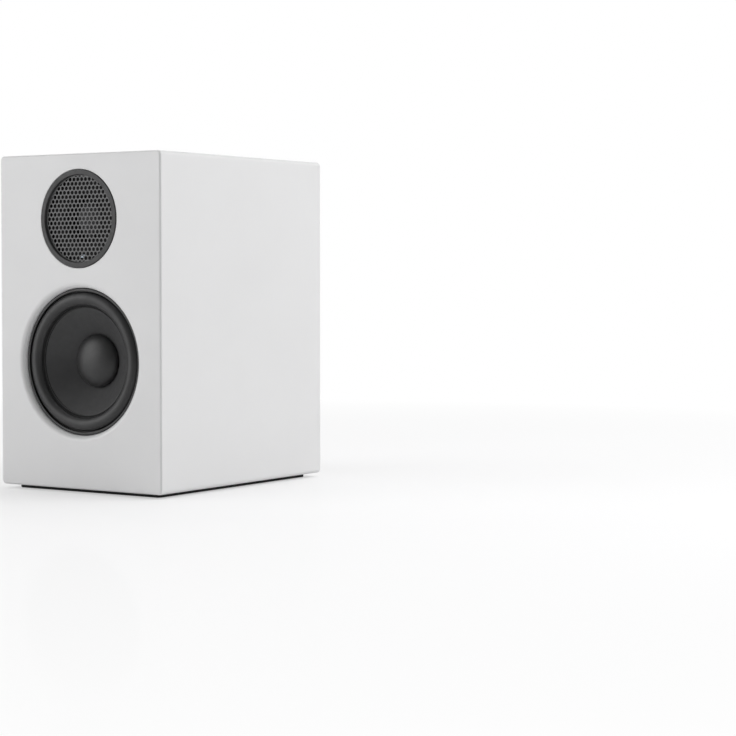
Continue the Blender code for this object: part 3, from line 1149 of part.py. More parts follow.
# -------------------------------------------------------------------------- build
def main():
    """Build every piece."""
    clear_scene()
    lacquer = finish("white_lacquer", (0.78, 0.78, 0.79), 0.42)
    rear_lacquer = finish("rear_lacquer", (0.72, 0.72, 0.73), 0.5)
    pad_rubber = finish("pad_rubber", (0.035, 0.035, 0.037), 0.8)
    fibre = finish("wadding_fibre", (0.75, 0.74, 0.7), 0.95)
    rubber = finish("surround_rubber", (0.022, 0.022, 0.023), 0.55)
    cone_skin = finish("cone_skin", (0.03, 0.03, 0.032), 0.5)
    cap_skin = finish("cap_skin", (0.035, 0.035, 0.037), 0.4)
    cloth = finish("spider_cloth", (0.55, 0.33, 0.12), 0.9)
    paper = finish("former_film", (0.45, 0.25, 0.06), 0.4)
    copper = finish("coil_copper", (0.75, 0.33, 0.14), 0.35, 1.0)
    steel = finish("plated_steel", (0.6, 0.6, 0.62), 0.35, 1.0)
    ferrite = finish("ferrite", (0.05, 0.05, 0.055), 0.6)
    black = finish("black_plastic", (0.03, 0.03, 0.032), 0.5)
    bezel = finish("bezel_plastic", (0.07, 0.07, 0.075), 0.45)
    mesh_metal = finish("mesh_metal", (0.09, 0.09, 0.095), 0.45, 0.6)
    silk = finish("dome_silk", (0.05, 0.05, 0.055), 0.7)
    lens = finish("led_lens", (0.75, 0.82, 0.9), 0.2)
    anodised = finish("sink_aluminium", (0.05, 0.05, 0.055), 0.45, 0.8)
    plate_paint = finish("plate_paint", (0.04, 0.04, 0.043), 0.5)
    green = finish("board_resin", (0.02, 0.16, 0.07), 0.45)
    winding = finish("transformer_wrap", (0.72, 0.55, 0.12), 0.5)
    nickel = finish("nickel", (0.7, 0.68, 0.62), 0.3, 1.0)
    gold = finish("post_metal", (0.85, 0.65, 0.28), 0.3, 1.0)
    red = finish("red_plastic", (0.55, 0.02, 0.02), 0.4)
    build_cabinet(lacquer, rear_lacquer, pad_rubber, fibre)
    build_woofer(rubber, cone_skin, cap_skin, cloth, steel, ferrite, copper, paper, black)
    build_tweeter(bezel, mesh_metal, silk, steel, ferrite, copper, lens)
    build_port(black)
    build_plate(plate_paint, steel)
    build_heat_sink(anodised)
    build_board(green, winding)
    build_volume(black, nickel)
    build_button(black)
    build_switch(black)
    build_inlet(black)
    build_jacks(nickel)
    build_posts({"red": red, "black": black}, gold)
    build_leads(black)


main()
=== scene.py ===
"""Looks for a compact powered two-way bookshelf speaker in satin white lacquer.

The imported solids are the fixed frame. Each class below takes one sub-assembly of the speaker, builds
the fine meshes that stand for its plain solids, and dresses them in procedural finishes. Lengths are
in metres, +Z is up, the drivers face -Y and the amplifier plate faces +Y.
"""

import sys

import logging
import math
from collections.abc import Callable, Sequence
from dataclasses import dataclass
from enum import Enum

import bmesh
import bpy
import numpy as np
from mathutils import Matrix, Vector


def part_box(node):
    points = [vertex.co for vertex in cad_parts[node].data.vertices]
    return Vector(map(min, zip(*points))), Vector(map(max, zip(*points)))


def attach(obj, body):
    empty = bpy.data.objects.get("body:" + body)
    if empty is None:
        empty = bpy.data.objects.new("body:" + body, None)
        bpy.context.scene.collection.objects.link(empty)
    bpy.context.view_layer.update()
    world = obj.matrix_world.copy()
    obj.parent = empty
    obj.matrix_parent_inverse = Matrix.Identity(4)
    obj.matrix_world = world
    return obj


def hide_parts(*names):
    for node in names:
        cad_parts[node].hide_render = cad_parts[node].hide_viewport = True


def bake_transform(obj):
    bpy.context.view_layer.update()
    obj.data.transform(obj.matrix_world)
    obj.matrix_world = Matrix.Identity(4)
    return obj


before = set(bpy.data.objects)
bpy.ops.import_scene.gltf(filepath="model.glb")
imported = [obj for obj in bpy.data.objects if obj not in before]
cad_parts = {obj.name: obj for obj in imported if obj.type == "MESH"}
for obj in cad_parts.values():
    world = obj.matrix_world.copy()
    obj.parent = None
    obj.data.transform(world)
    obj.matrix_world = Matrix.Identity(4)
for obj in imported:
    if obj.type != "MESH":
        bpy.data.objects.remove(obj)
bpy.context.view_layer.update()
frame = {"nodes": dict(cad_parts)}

LOG = logging.getLogger("speaker")
MM = 0.001
FULL_TURN = 2.0 * math.pi
# Steps round a turned piece, from the widest pieces to the smallest.
FINE_SIDES = 192
LARGE_SIDES = 144
MEDIUM_SIDES = 72
SMALL_SIDES = 40
# Edges sharper than this stay crisp, and corners flatter than the second are left as they are.
SHARP = math.radians(38.0)
NEARLY_STRAIGHT = math.radians(172.0)
# Points closer than this are one, and shorter lengths count as this one.
MERGE = 0.001 * MM
SHORTEST = 1e-12
# A cutting tool reaches this far past what it cuts, and parts that touch keep this gap.
OVERSHOOT = 2.0 * MM
GAP = 0.3 * MM
# The largest share of an edge that one rounding takes, and the least that a corner is mitred by.
EDGE_SHARE = 0.45
LEAST_MITRE = 0.3
# Steps round a hole of the mesh. A cell or a hole with less than its share of area is left out.
HOLE_SIDES = 24
LEAST_CELL = 0.02
LEAST_HOLE = 0.5
# A corner of a box outline that is larger than this may be cut off straight.
CHAMFER_FROM = 3.0 * MM
# The range that soft noise mostly keeps to.
MIDDLING = (0.3, 0.7)
WHITE = (1.0, 1.0, 1.0, 1.0)
# The middle of the speaker, which every lamp faces.
AIMED_AT = Vector((0.0, 0.0, 0.12))

Point = tuple[float, float]
Colour = tuple[float, float, float]
Layer = tuple[Sequence[Point], float, float]


# ------------------------------------------------------------------------ outlines
def arc(centre: Point, radii: Point, start: float, end: float, steps: int) -> list[Point]:
    """Points on an arc of an ellipse, both ends included.

    Args:
        centre: middle of the ellipse.
        radii: its two half axes.
        start: first angle in degrees.
        end: last angle in degrees.
        steps: how many equal steps lie between them.

    Returns:
        The points in order.
    """
    made = []
    for index in range(steps + 1):
        angle = math.radians(start + (end - start) * index / steps)
        made.append((centre[0] + radii[0] * math.cos(angle), centre[1] + radii[1] * math.sin(angle)))
    return made


def rounded(points: Sequence[Point], radius: float, steps: int = 4) -> list[Point]:
    """A closed outline with its corners rounded off.

    Args:
        points: corners of the outline in order.
        radius: radius of the rounding, less where an edge is too short for it.
        steps: segments in each rounding.

    Returns:
        The outline with the roundings in place of its corners.
    """
    made: list[Point] = []
    for index, corner in enumerate(points):
        here = Vector(corner)
        back = Vector(points[index - 1]) - here
        onward = Vector(points[(index + 1) % len(points)]) - here
        if back.length < MERGE or onward.length < MERGE:
            made.append(corner)
            continue
        turn = back.angle(onward)
        if turn > NEARLY_STRAIGHT:
            made.append(corner)
            continue
        room = (EDGE_SHARE * back.length, EDGE_SHARE * onward.length)
        reach = min(radius / math.tan(turn / 2.0), *room)
        true_radius = reach * math.tan(turn / 2.0)
        middle = (back.normalized() + onward.normalized()).normalized()
        centre = here + middle * (true_radius / math.sin(turn / 2.0))
        first = here + back.normalized() * reach - centre
        last = here + onward.normalized() * reach - centre
        begin = math.atan2(first.y, first.x)
        swing = math.remainder(math.atan2(last.y, last.x) - begin, FULL_TURN)
        for step in range(steps + 1):
            angle = begin + swing * step / steps
            across = centre.x + true_radius * math.cos(angle)
            made.append((across, centre.y + true_radius * math.sin(angle)))
    return made


def signed_area(points: Sequence[Point]) -> float:
    """Area of an outline, positive where it runs anticlockwise."""
    spots = np.array(points, float)
    after = np.roll(spots, -1, axis=0)
    return float((spots[:, 0] * after[:, 1] - after[:, 0] * spots[:, 1]).sum() / 2.0)


def inset(points: Sequence[Point], amount: float) -> list[Point]:
    """A closed outline drawn in all round.

    Args:
        points: the outline, in either sense.
        amount: how far each side moves inwards.

    Returns:
        The same number of points, anticlockwise.
    """
    spots = np.array(points, float)
    if signed_area(points) < 0.0:
        spots = spots[::-1]
    before = spots - np.roll(spots, 1, axis=0)
    after = np.roll(spots, -1, axis=0) - spots
    normals = []
    for side in (before, after):
        length = np.maximum(np.linalg.norm(side, axis=1, keepdims=True), SHORTEST)
        normals.append(np.stack([-side[:, 1], side[:, 0]], axis=1) / length)
    shared = 1.0 + (normals[0] * normals[1]).sum(axis=1, keepdims=True)
    moved = spots + amount * (normals[0] + normals[1]) / np.maximum(shared, LEAST_MITRE)
    return [(float(x), float(y)) for x, y in moved]


def circle(radius: float, sides: int, centre: Point = (0.0, 0.0)) -> list[Point]:
    """A round outline, anticlockwise from the right."""
    turns = [FULL_TURN * index / sides for index in range(sides)]
    return [(centre[0] + radius * math.cos(turn), centre[1] + radius * math.sin(turn)) for turn in turns]


def fluted(radius: float, depth: float, flutes: int, steps: int = 8) -> list[Point]:
    """A round outline with finger grooves.

    Args:
        radius: radius over the ridges.
        depth: how deep each groove goes.
        flutes: number of grooves.
        steps: points in each groove and ridge.

    Returns:
        The outline, anticlockwise.
    """
    made = []
    for index in range(flutes * steps):
        turn = FULL_TURN * index / (flutes * steps)
        groove = (0.5 - 0.5 * math.cos(flutes * turn)) ** 2
        reach = radius - depth * groove
        made.append((reach * math.cos(turn), reach * math.sin(turn)))
    return made


def box_outline(
    half: Point, corners: Sequence[float], steps: int = 5, chamfered: bool = False
) -> list[Point]:
    """A rectangle whose corners are rounded or cut off.

    Args:
        half: half its width and half its height.
        corners: the four corner sizes, anticlockwise from the top right.
        steps: segments in each corner.
        chamfered: draws the larger corners as straight cuts.

    Returns:
        The outline, anticlockwise.
    """
    signs = ((1.0, 1.0), (-1.0, 1.0), (-1.0, -1.0), (1.0, -1.0))
    made: list[Point] = []
    for quarter, (sign, size) in enumerate(zip(signs, corners)):
        centre = (sign[0] * (half[0] - size), sign[1] * (half[1] - size))
        swept = arc(centre, (size, size), 90.0 * quarter, 90.0 * (quarter + 1), steps)
        if chamfered and size > CHAMFER_FROM:
            first, last = Vector(swept[0]), Vector(swept[-1])
            swept = [tuple(first.lerp(last, step / steps)) for step in range(steps + 1)]
        made += swept
    return made


def soft_end(start: float, end: float, radius: float, steps: int = 4) -> list[Point]:
    """Layers of a body with a square foot and a rounded far edge.

    Args:
        start: where the body begins along its axis.
        end: where it ends.
        radius: rounding of the far edge.
        steps: segments in the rounding.

    Returns:
        Pairs of how far the outline is drawn in, and where along the axis.
    """
    way = math.copysign(1.0, end - start)
    made = [(0.0, start)]
    for step in range(steps + 1):
        angle = step / steps * math.pi / 2.0
        made.append((radius * (1.0 - math.cos(angle)), end - way * radius * (1.0 - math.sin(angle))))
    return made


# ------------------------------------------------------------------------- meshes
@dataclass(frozen=True)
class Axis:
    """A line along +Y that a round piece is turned about.

    Attributes:
        x: where it stands across the speaker.
        y: where its zero lies.
        z: its height.
    """

    x: float
    y: float
    z: float

    def at(self, across: float, up: float, along: float) -> Vector:
        """A point given by its distances from the axis and along it."""
        return Vector((self.x + across, self.y + along, self.z + up))


def centre_of(node: str) -> Vector:
    """The middle of a solid's box at rest."""
    low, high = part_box(node)
    return (low + high) / 2.0


def new_piece(name: str, mesh: bpy.types.ID) -> bpy.types.Object:
    """Puts a mesh, camera or lamp into the scene under that name."""
    piece = bpy.data.objects.new(name, mesh)
    bpy.context.scene.collection.objects.link(piece)
    return piece


def soften(piece: bpy.types.Object) -> bpy.types.Object:
    """Shades a piece smooth between its sharp edges, with flat faces left flat.

    Args:
        piece: the piece to shade.

    Returns:
        The same piece.
    """
    piece.data.shade_smooth()
    piece.data.set_sharp_from_angle(angle=SHARP)
    weighting = piece.modifiers.new("even_normals", "WEIGHTED_NORMAL")
    weighting.keep_sharp = True
    return piece


def turned(
    name: str, profile: Sequence[Point], axis: Axis, sides: int = LARGE_SIDES, sweep: Point | None = None
) -> bpy.types.Object:
    """Turns a closed cross-section about an axis, with exact normals.

    Args:
        name: the piece's name.
        profile: cross-section as pairs of radius and distance along the axis.
        axis: the axis.
        sides: steps round it.
        sweep: first and last angle of a wedge; a full turn if left out.

    Returns:
        The new piece.
    """
    points = np.array(profile, float)
    if signed_area(profile) < 0.0:
        points = points[::-1]
    count = len(points)
    middle = points[:, 0] < MERGE
    full = sweep is None
    start, end = sweep or (0.0, FULL_TURN)
    columns = sides if full else sides + 1
    angles = start + (end - start) * np.arange(columns) / sides
    grid = np.zeros((columns, count), int)
    vertices: list[Vector] = []
    for i, (radius, along) in enumerate(points):
        if middle[i]:
            grid[:, i] = len(vertices)
            vertices.append(axis.at(0.0, 0.0, along))
            continue
        for j, angle in enumerate(angles):
            grid[j, i] = len(vertices)
            vertices.append(axis.at(radius * math.cos(angle), radius * math.sin(angle), along))
    steps = np.roll(points, -1, axis=0) - points
    lengths = np.maximum(np.linalg.norm(steps, axis=1), SHORTEST)
    facing = np.stack([steps[:, 1], -steps[:, 0]], axis=1) / lengths[:, None]
    on_axis = middle & np.roll(middle, -1)

    def normal_at(corner: int, segment: int) -> np.ndarray:
        """The cross-section's normal at a corner, as its segment sees it."""
        if middle[corner]:
            return np.array([0.0, math.copysign(1.0, facing[segment][1])])
        other = (corner - 1) % count if segment == corner else corner
        shared = facing[segment] @ facing[other]
        if on_axis[other] or shared < math.cos(SHARP):
            return facing[segment]
        mixed = facing[segment] * lengths[segment] + facing[other] * lengths[other]
        return mixed / np.linalg.norm(mixed)

    faces: list[list[int]] = []
    normals: list[tuple[float, float, float]] = []
    for i in range(count):
        if on_axis[i]:
            continue
        following = (i + 1) % count
        ends = {i: normal_at(i, i), following: normal_at(following, i)}
        for j in range(sides):
            k = (j + 1) % columns
            corners = [(i, j), (following, j), (following, k), (i, k)]
            if middle[i]:
                corners = corners[:3]
            elif middle[following]:
                corners = [corners[0], corners[1], corners[3]]
            faces.append([int(grid[column, row]) for row, column in corners])
            for row, column in corners:
                outward, along = ends[row]
                angle = angles[column]
                normals.append((outward * math.cos(angle), along, outward * math.sin(angle)))
    if not full:
        for column, order, way in ((0, range(count - 1, -1, -1), -1.0), (columns - 1, range(count), 1.0)):
            faces.append([int(grid[column, row]) for row in order])
            flat = (-way * math.sin(angles[column]), 0.0, way * math.cos(angles[column]))
            normals += [flat] * count
    mesh = bpy.data.meshes.new(name)
    mesh.from_pydata(vertices, [], faces)
    mesh.shade_smooth()
    mesh.normals_split_custom_set(normals)
    return new_piece(name, mesh)


def skinned(name: str, rings: Sequence[Sequence[Vector]], looped: bool = False) -> bpy.types.Object:
    """Joins rings of equal count into one closed body.

    Args:
        name: the piece's name.
        rings: the rings in order.
        looped: joins the last ring to the first, where the body has a hole right through.

    Returns:
        The new piece, softly shaded.
    """
    count = len(rings[0])
    vertices = [spot for ring in rings for spot in ring]
    faces = []
    for level in range(len(rings) if looped else len(rings) - 1):
        low, high = level * count, (level + 1) % len(rings) * count
        for step in range(count):
            after = (step + 1) % count
            faces.append((low + step, low + after, high + after, high + step))
    if not looped:
        faces.append(tuple(range(count)))
        faces.append(tuple(range(len(vertices) - count, len(vertices))))
    mesh = bpy.data.meshes.new(name)
    mesh.from_pydata(vertices, [], faces)
    shape = bmesh.new()
    shape.from_mesh(mesh)
    bmesh.ops.remove_doubles(shape, verts=shape.verts, dist=MERGE)
    bmesh.ops.recalc_face_normals(shape, faces=shape.faces)
    shape.to_mesh(mesh)
    shape.free()
    return soften(new_piece(name, mesh))


def stacked(name: str, stack: Sequence[Layer], axis: Axis, looped: bool = False) -> bpy.types.Object:
    """A body whose outline changes along its axis and keeps its number of points.

    Args:
        name: the piece's name.
        stack: outlines, how far each is drawn in, and where along the axis.
        axis: where the outlines' zero stands.
        looped: joins the last outline to the first, where the body has a hole right through.

    Returns:
        The new piece.
    """
    rings = []
    for outline, amount, along in stack:
        rings.append([axis.at(across, up, along) for across, up in inset(outline, amount)])
    return skinned(name, rings, looped)


def layered(name: str, outline: Sequence[Point], layers: Sequence[Point], axis: Axis) -> bpy.types.Object:
    """A body with one outline, drawn in by different amounts along its axis."""
    return stacked(name, [(outline, *layer) for layer in layers], axis)


def upright(name: str, outline: Sequence[Point], layers: Sequence[Point]) -> bpy.types.Object:
    """The same for an outline seen from above, with its layers going up or down."""
    rings = [[Vector((x, y, z)) for x, y in inset(outline, amount)] for amount, z in layers]
    return skinned(name, rings)


def framed(
    outlines: tuple[list[Point], ...], tail: float, lip: float, floor: float, bevels: Point
) -> list[Layer]:
    """The stack of a body with a rim on a face and a well in it.

    Args:
        outlines: outlines of the body, the rim and the well.
        tail: where the body ends behind the face.
        lip: how far the rim stands out.
        floor: where the well ends.
        bevels: rounding of the rim's outer edge, and bevel of the well's.

    Returns:
        The stack, from the tail to the well's floor.
    """
    body, rim, well = outlines
    rounding, bevel = bevels
    foot, top = GAP, GAP + lip
    stack: list[Layer] = [(body, 0.0, tail), (body, 0.0, foot), (rim, 0.0, foot)]
    stack += [(rim, *layer) for layer in soft_end(foot, top, rounding)[1:]]
    return stack + [(well, -bevel, top), (well, 0.0, top - bevel), (well, 0.0, floor)]


def domed(foot: float, size: Point, skin: float, steps: int) -> list[Point]:
    """Cross-section of a dome of even thickness.

    Args:
        foot: depth of its foot.
        size: its radius and its height.
        skin: its thickness.
        steps: segments from its foot to its crown.

    Returns:
        The closed outline.
    """
    radius, height = size
    outer = arc((0.0, foot), (radius, height), 0.0, -90.0, steps)
    inner = arc((0.0, foot), (radius - skin, height - skin), 270.0, 360.0, steps)
    outer[-1], inner[0] = (0.0, foot - height), (0.0, foot - height + skin)
    return outer + inner


def cut(target: bpy.types.Object, tool: bpy.types.Object) -> None:
    """Cuts a tool out of a piece and throws the tool away.

    Args:
        target: the piece to be cut.
        tool: the shape taken out of it.
    """
    for piece in (target, tool):
        piece.modifiers.clear()
    working = target.modifiers.new("cut", "BOOLEAN")
    working.solver = "EXACT"
    working.operation = "DIFFERENCE"
    working.object = tool
    graph = bpy.context.evaluated_depsgraph_get()
    mesh = bpy.data.meshes.new_from_object(target.evaluated_get(graph))
    mesh.name = target.name
    stale = mesh.attributes.get("custom_normal")
    if stale:
        mesh.attributes.remove(stale)
    target.modifiers.clear()
    target.data = mesh
    bpy.data.objects.remove(tool)


def join(name: str, parts: Sequence[bpy.types.Object]) -> bpy.types.Object:
    """Makes one piece of several separate bodies of one material.

    Args:
        name: the new piece's name.
        parts: the bodies, which are used up.

    Returns:
        The new piece, softly shaded.
    """
    shape = bmesh.new()
    for part in parts:
        shape.from_mesh(part.data)
    mesh = bpy.data.meshes.new(name)
    shape.to_mesh(mesh)
    shape.free()
    for part in parts:
        bpy.data.objects.remove(part)
    return soften(new_piece(name, mesh))


# ----------------------------------------------------------------------- finishes
class Pattern(Enum):
    """What runs through a finish besides its grain."""

    PLAIN = "plain"
    WOVEN = "woven"
    WOUND = "wound"
    SPECKLED = "speckled"
    DRAWN = "drawn"
    FIBROUS = "fibrous"
    TRACED = "traced"
    GLOWING = "glowing"
    # Painted shade: rounded edges darkened towards the second colour.
    EDGE_SHADED = "lacquered"


class Bench:
    """A material's nodes as they are laid down, all fed by the piece's own coordinates."""

    def __init__(self, name: str) -> None:
        """Starts a material of that name.

        Args:
            name: the material's name.
        """
        self.material = bpy.data.materials.new(name)
        self.material.use_nodes = True
        self.tree = self.material.node_tree
        self.shader = self.tree.nodes["Principled BSDF"]
        self.place = self.tree.nodes.new("ShaderNodeTexCoord").outputs["Object"]

    def node(self, kind: str, links: dict[str, object], **settings: object) -> bpy.types.Node:
        """Adds a node.

        Args:
            kind: Blender's name for the node's type.
            links: what goes into each input, a socket or a value.
            settings: the node's own settings.

        Returns:
            The node.
        """
        made = self.tree.nodes.new(kind)
        for key, value in settings.items():
            setattr(made, key, value)
        for key, value in links.items():
            target = made.inputs[int(key)] if key.isdigit() else made.inputs[key]
            if isinstance(value, bpy.types.NodeSocket):
                self.tree.links.new(value, target)
            else:
                target.default_value = value
        return made

    def stretched(self, scale: Sequence[float]) -> bpy.types.NodeSocket:
        """The piece's coordinates, drawn out along its axes."""
        return self.node("ShaderNodeMapping", {"Vector": self.place, "Scale": tuple(scale)}).outputs[0]

    def noise(
        self, size: float, detail: float = 3.0, scale: Sequence[float] = (1.0, 1.0, 1.0)
    ) -> bpy.types.NodeSocket:
        """Soft random patches.

        Args:
            size: width of a patch in metres.
            detail: how many finer layers it has.
            scale: stretch of the coordinates.

        Returns:
            A value from 0 to 1.
        """
        where = self.stretched(scale)
        links = {"Vector": where, "Scale": 1.0 / size, "Detail": detail}
        return self.node("ShaderNodeTexNoise", links).outputs[0]

    def spread(self, value: bpy.types.NodeSocket, source: Point, target: Point) -> bpy.types.NodeSocket:
        """Stretches a value from one range to another.

        Args:
            value: the value.
            source: the range it comes in.
            target: the range it goes out in.

        Returns:
            The new value.
        """
        links = {"0": value, "1": source[0], "2": source[1], "3": target[0], "4": target[1]}
        return self.node("ShaderNodeMapRange", links).outputs[0]

    def mixed(self, share: bpy.types.NodeSocket, first: object, second: object) -> bpy.types.NodeSocket:
        """Mixes two colours.

        Args:
            share: how much of the second colour there is.
            first: a colour or a socket.
            second: a colour or a socket.

        Returns:
            The mixed colour.
        """
        node = self.node("ShaderNodeMix", {"0": share}, data_type="RGBA")
        for slot, value in ((node.inputs[6], first), (node.inputs[7], second)):
            if isinstance(value, bpy.types.NodeSocket):
                self.tree.links.new(value, slot)
            else:
                slot.default_value = (*value, 1.0)
        return node.outputs[2]

    def reckon(self, operation: str, first: object, second: object = 0.0) -> bpy.types.NodeSocket:
        """One step of arithmetic between two values."""
        return self.node("ShaderNodeMath", {"0": first, "1": second}, operation=operation).outputs[0]

    def raised(self, height: bpy.types.NodeSocket, relief: float, strength: float) -> None:
        """Raises the surface by a height, over what was raised before.

        Args:
            height: the height, from 0 to 1.
            relief: what a height of 1 is in metres.
            strength: how strongly it tells, from 0 to 1.
        """
        links = {"Height": height, "Distance": relief, "Strength": strength}
        bump = self.node("ShaderNodeBump", links)
        under = self.shader.inputs["Normal"].links
        if under:
            self.tree.links.new(under[0].from_socket, bump.inputs["Normal"])
        self.tree.links.new(bump.outputs[0], self.shader.inputs["Normal"])


@dataclass(frozen=True)
class Finish:
    """One finish, with the fine detail that the real surface has.

    Attributes:
        colour: the main colour.
        shade: the second colour, which comes in soft patches, and in the edge-shaded pattern also the
            colour of the painted shade on rounded edges.
        patch: width of those patches in metres.
        rough: lowest and highest roughness.
        grain: size of the surface's grain in metres.
        relief: how high the grain stands in metres.
        strength: how strongly the grain tells.
        metallic: 1 for bare metal.
        coat: weight of a clear coat.
        sheen: weight of a fine nap.
        specular: strength of the surface's own shine.
        pattern: what runs through it besides the grain.
        pitch: spacing of that pattern in metres.
        wear: how much lighter edges have been rubbed.
        mottle: how much of the second colour the patches take on.
    """

    colour: Colour
    shade: Colour
    patch: float = 20.0 * MM
    rough: Point = (0.4, 0.5)
    grain: float = 0.5 * MM
    relief: float = 0.02 * MM
    strength: float = 0.4
    metallic: float = 0.0
    coat: float = 0.0
    sheen: float = 0.0
    specular: float = 0.5
    pattern: Pattern = Pattern.PLAIN
    pitch: float = 1.0 * MM
    wear: float = 0.0
    mottle: float = 1.0

    def material(self, name: str) -> bpy.types.Material:
        """The finish as a material, made once and then shared.

        Args:
            name: the material's name.

        Returns:
            The material.
        """
        found = bpy.data.materials.get("look_" + name)
        if found:
            return found
        bench = Bench("look_" + name)
        shader = bench.shader
        patches = bench.spread(bench.noise(self.patch), MIDDLING, (0.0, self.mottle))
        colour = bench.mixed(patches, self.colour, self.shade)
        streaks = bench.noise(self.patch * 0.37, 4.0)
        gloss = bench.spread(streaks, MIDDLING, self.rough)
        shader.inputs["Metallic"].default_value = self.metallic
        shader.inputs["Coat Weight"].default_value = self.coat
        shader.inputs["Sheen Weight"].default_value = self.sheen
        shader.inputs["Specular IOR Level"].default_value = self.specular
        bench.raised(bench.noise(self.grain, 2.0), self.relief, self.strength)
        colour, gloss = self.run_pattern(bench, colour, gloss)
        if self.wear > 0.0:
            colour = self.rub_edges(bench, colour)
        bench.tree.links.new(colour, shader.inputs["Base Color"])
        bench.tree.links.new(gloss, shader.inputs["Roughness"])
        return bench.material

    def rub_edges(self, bench: Bench, colour: bpy.types.NodeSocket) -> bpy.types.NodeSocket:
        """Lightens the edges where hands and cloths have rubbed.

        Args:
            bench: the material's nodes.
            colour: the colour so far.

        Returns:
            The colour with its worn edges.
        """
        geometry = bench.node("ShaderNodeNewGeometry", {})
        edges = bench.spread(geometry.outputs["Pointiness"], (0.51, 0.6), (0.0, self.wear))
        broken = bench.spread(bench.noise(2.5 * MM, 5.0), (0.35, 0.65), (0.2, 1.0))
        share = bench.reckon("MULTIPLY", edges, broken)
        lighter = tuple(min(1.0, 0.25 + channel * 1.4) for channel in self.colour)
        return bench.mixed(share, colour, lighter)

    def run_pattern(
        self, bench: Bench, colour: bpy.types.NodeSocket, gloss: bpy.types.NodeSocket
    ) -> tuple[bpy.types.NodeSocket, bpy.types.NodeSocket]:
        """Lays the finish's pattern over its plain colour, shine and grain.

        Args:
            bench: the material's nodes.
            colour: the colour so far.
            gloss: the roughness so far.

        Returns:
            The colour and the roughness with the pattern in them.
        """
        if self.pattern is Pattern.WOVEN:
            weave = self.weave(bench)
            bench.raised(weave, self.pitch * 0.25, 0.6)
            # Painted shade: the dips between the threads are mixed towards black.
            colour = bench.mixed(bench.spread(weave, (0.0, 1.0), (0.35, 0.0)), colour, (0.0, 0.0, 0.0))
        elif self.pattern is Pattern.WOUND:
            turns = self.bands(bench, "Y")
            bench.raised(turns, self.pitch * 0.3, 0.8)
            # Painted shade: the grooves between the turns take the darker second colour.
            colour = bench.mixed(bench.spread(turns, (0.0, 0.5), (0.5, 0.0)), colour, self.shade)
        elif self.pattern is Pattern.SPECKLED:
            links = {"Vector": bench.place, "Scale": 1.0 / self.pitch}
            cells = bench.node("ShaderNodeTexVoronoi", links).outputs["Distance"]
            bench.raised(cells, self.pitch * 0.2, 0.5)
            colour = bench.mixed(bench.spread(cells, (0.0, 0.35), (0.6, 0.0)), colour, self.shade)
        elif self.pattern is Pattern.DRAWN:
            lines = bench.noise(self.pitch, 4.0, (1.0, 1.0, 0.02))
            bench.raised(lines, 0.02 * MM, 0.5)
            gloss = bench.reckon("ADD", gloss, bench.spread(lines, MIDDLING, (-0.06, 0.1)))
            colour = bench.mixed(bench.spread(lines, (0.4, 0.75), (0.0, 0.25)), colour, self.shade)
        elif self.pattern is Pattern.FIBROUS:
            threads = bench.noise(self.pitch, 6.0, (1.0, 0.35, 1.6))
            bench.raised(threads, self.pitch * 0.5, 0.8)
            colour = bench.mixed(bench.spread(threads, (0.4, 0.7), (0.0, 0.6)), colour, self.shade)
        elif self.pattern is Pattern.TRACED:
            links = {"Vector": bench.place, "Scale": 1.0 / self.pitch}
            cells = bench.node("ShaderNodeTexVoronoi", links, distance="CHEBYCHEV", feature="F1")
            tracks = bench.spread(cells.outputs["Distance"], (0.36, 0.4), (0.0, 1.0))
            bench.raised(tracks, 0.035 * MM, 0.7)
            colour = bench.mixed(tracks, colour, self.shade)
        elif self.pattern is Pattern.GLOWING:
            bench.shader.inputs["Emission Color"].default_value = (0.75, 0.88, 1.0, 1.0)
            power = bench.spread(bench.noise(0.6 * MM), MIDDLING, (0.3, 0.55))
            bench.tree.links.new(power, bench.shader.inputs["Emission Strength"])
        elif self.pattern is Pattern.EDGE_SHADED:
            # Painted shade: rounded edges and the woofer's rounded mouth are darkened towards the second
            # colour.
            colour = bench.mixed(self.painted_edge_shade(bench), colour, self.shade)
        return colour, gloss

    def painted_edge_shade(self, bench: Bench) -> bpy.types.NodeSocket:
        """Share of painted shade, by how far the surface is turned off the speaker's own faces, as on its
        rounded edges.
        """
        facing = bench.node("ShaderNodeNewGeometry", {}).outputs["Normal"]
        sides = bench.node("ShaderNodeSeparateXYZ", {"0": facing}).outputs
        sizes = [bench.reckon("ABSOLUTE", side) for side in sides]
        most = bench.reckon("MAXIMUM", sizes[0], bench.reckon("MAXIMUM", sizes[1], sizes[2]))
        return bench.spread(most, (0.98, 0.71), (0.0, 1.0))

    def bands(self, bench: Bench, axis: str) -> bpy.types.NodeSocket:
        """Even bands across one axis, a pitch apart."""
        scale = FULL_TURN / (20.0 * self.pitch)
        links = {"Vector": bench.place, "Scale": scale, "Distortion": 0.4, "Detail": 1.0}
        return bench.node("ShaderNodeTexWave", links, bands_direction=axis).outputs["Fac"]

    def weave(self, bench: Bench) -> bpy.types.NodeSocket:
        """Threads that cross over and under each other."""
        return bench.reckon("MAXIMUM", self.bands(bench, "X"), self.bands(bench, "Z"))


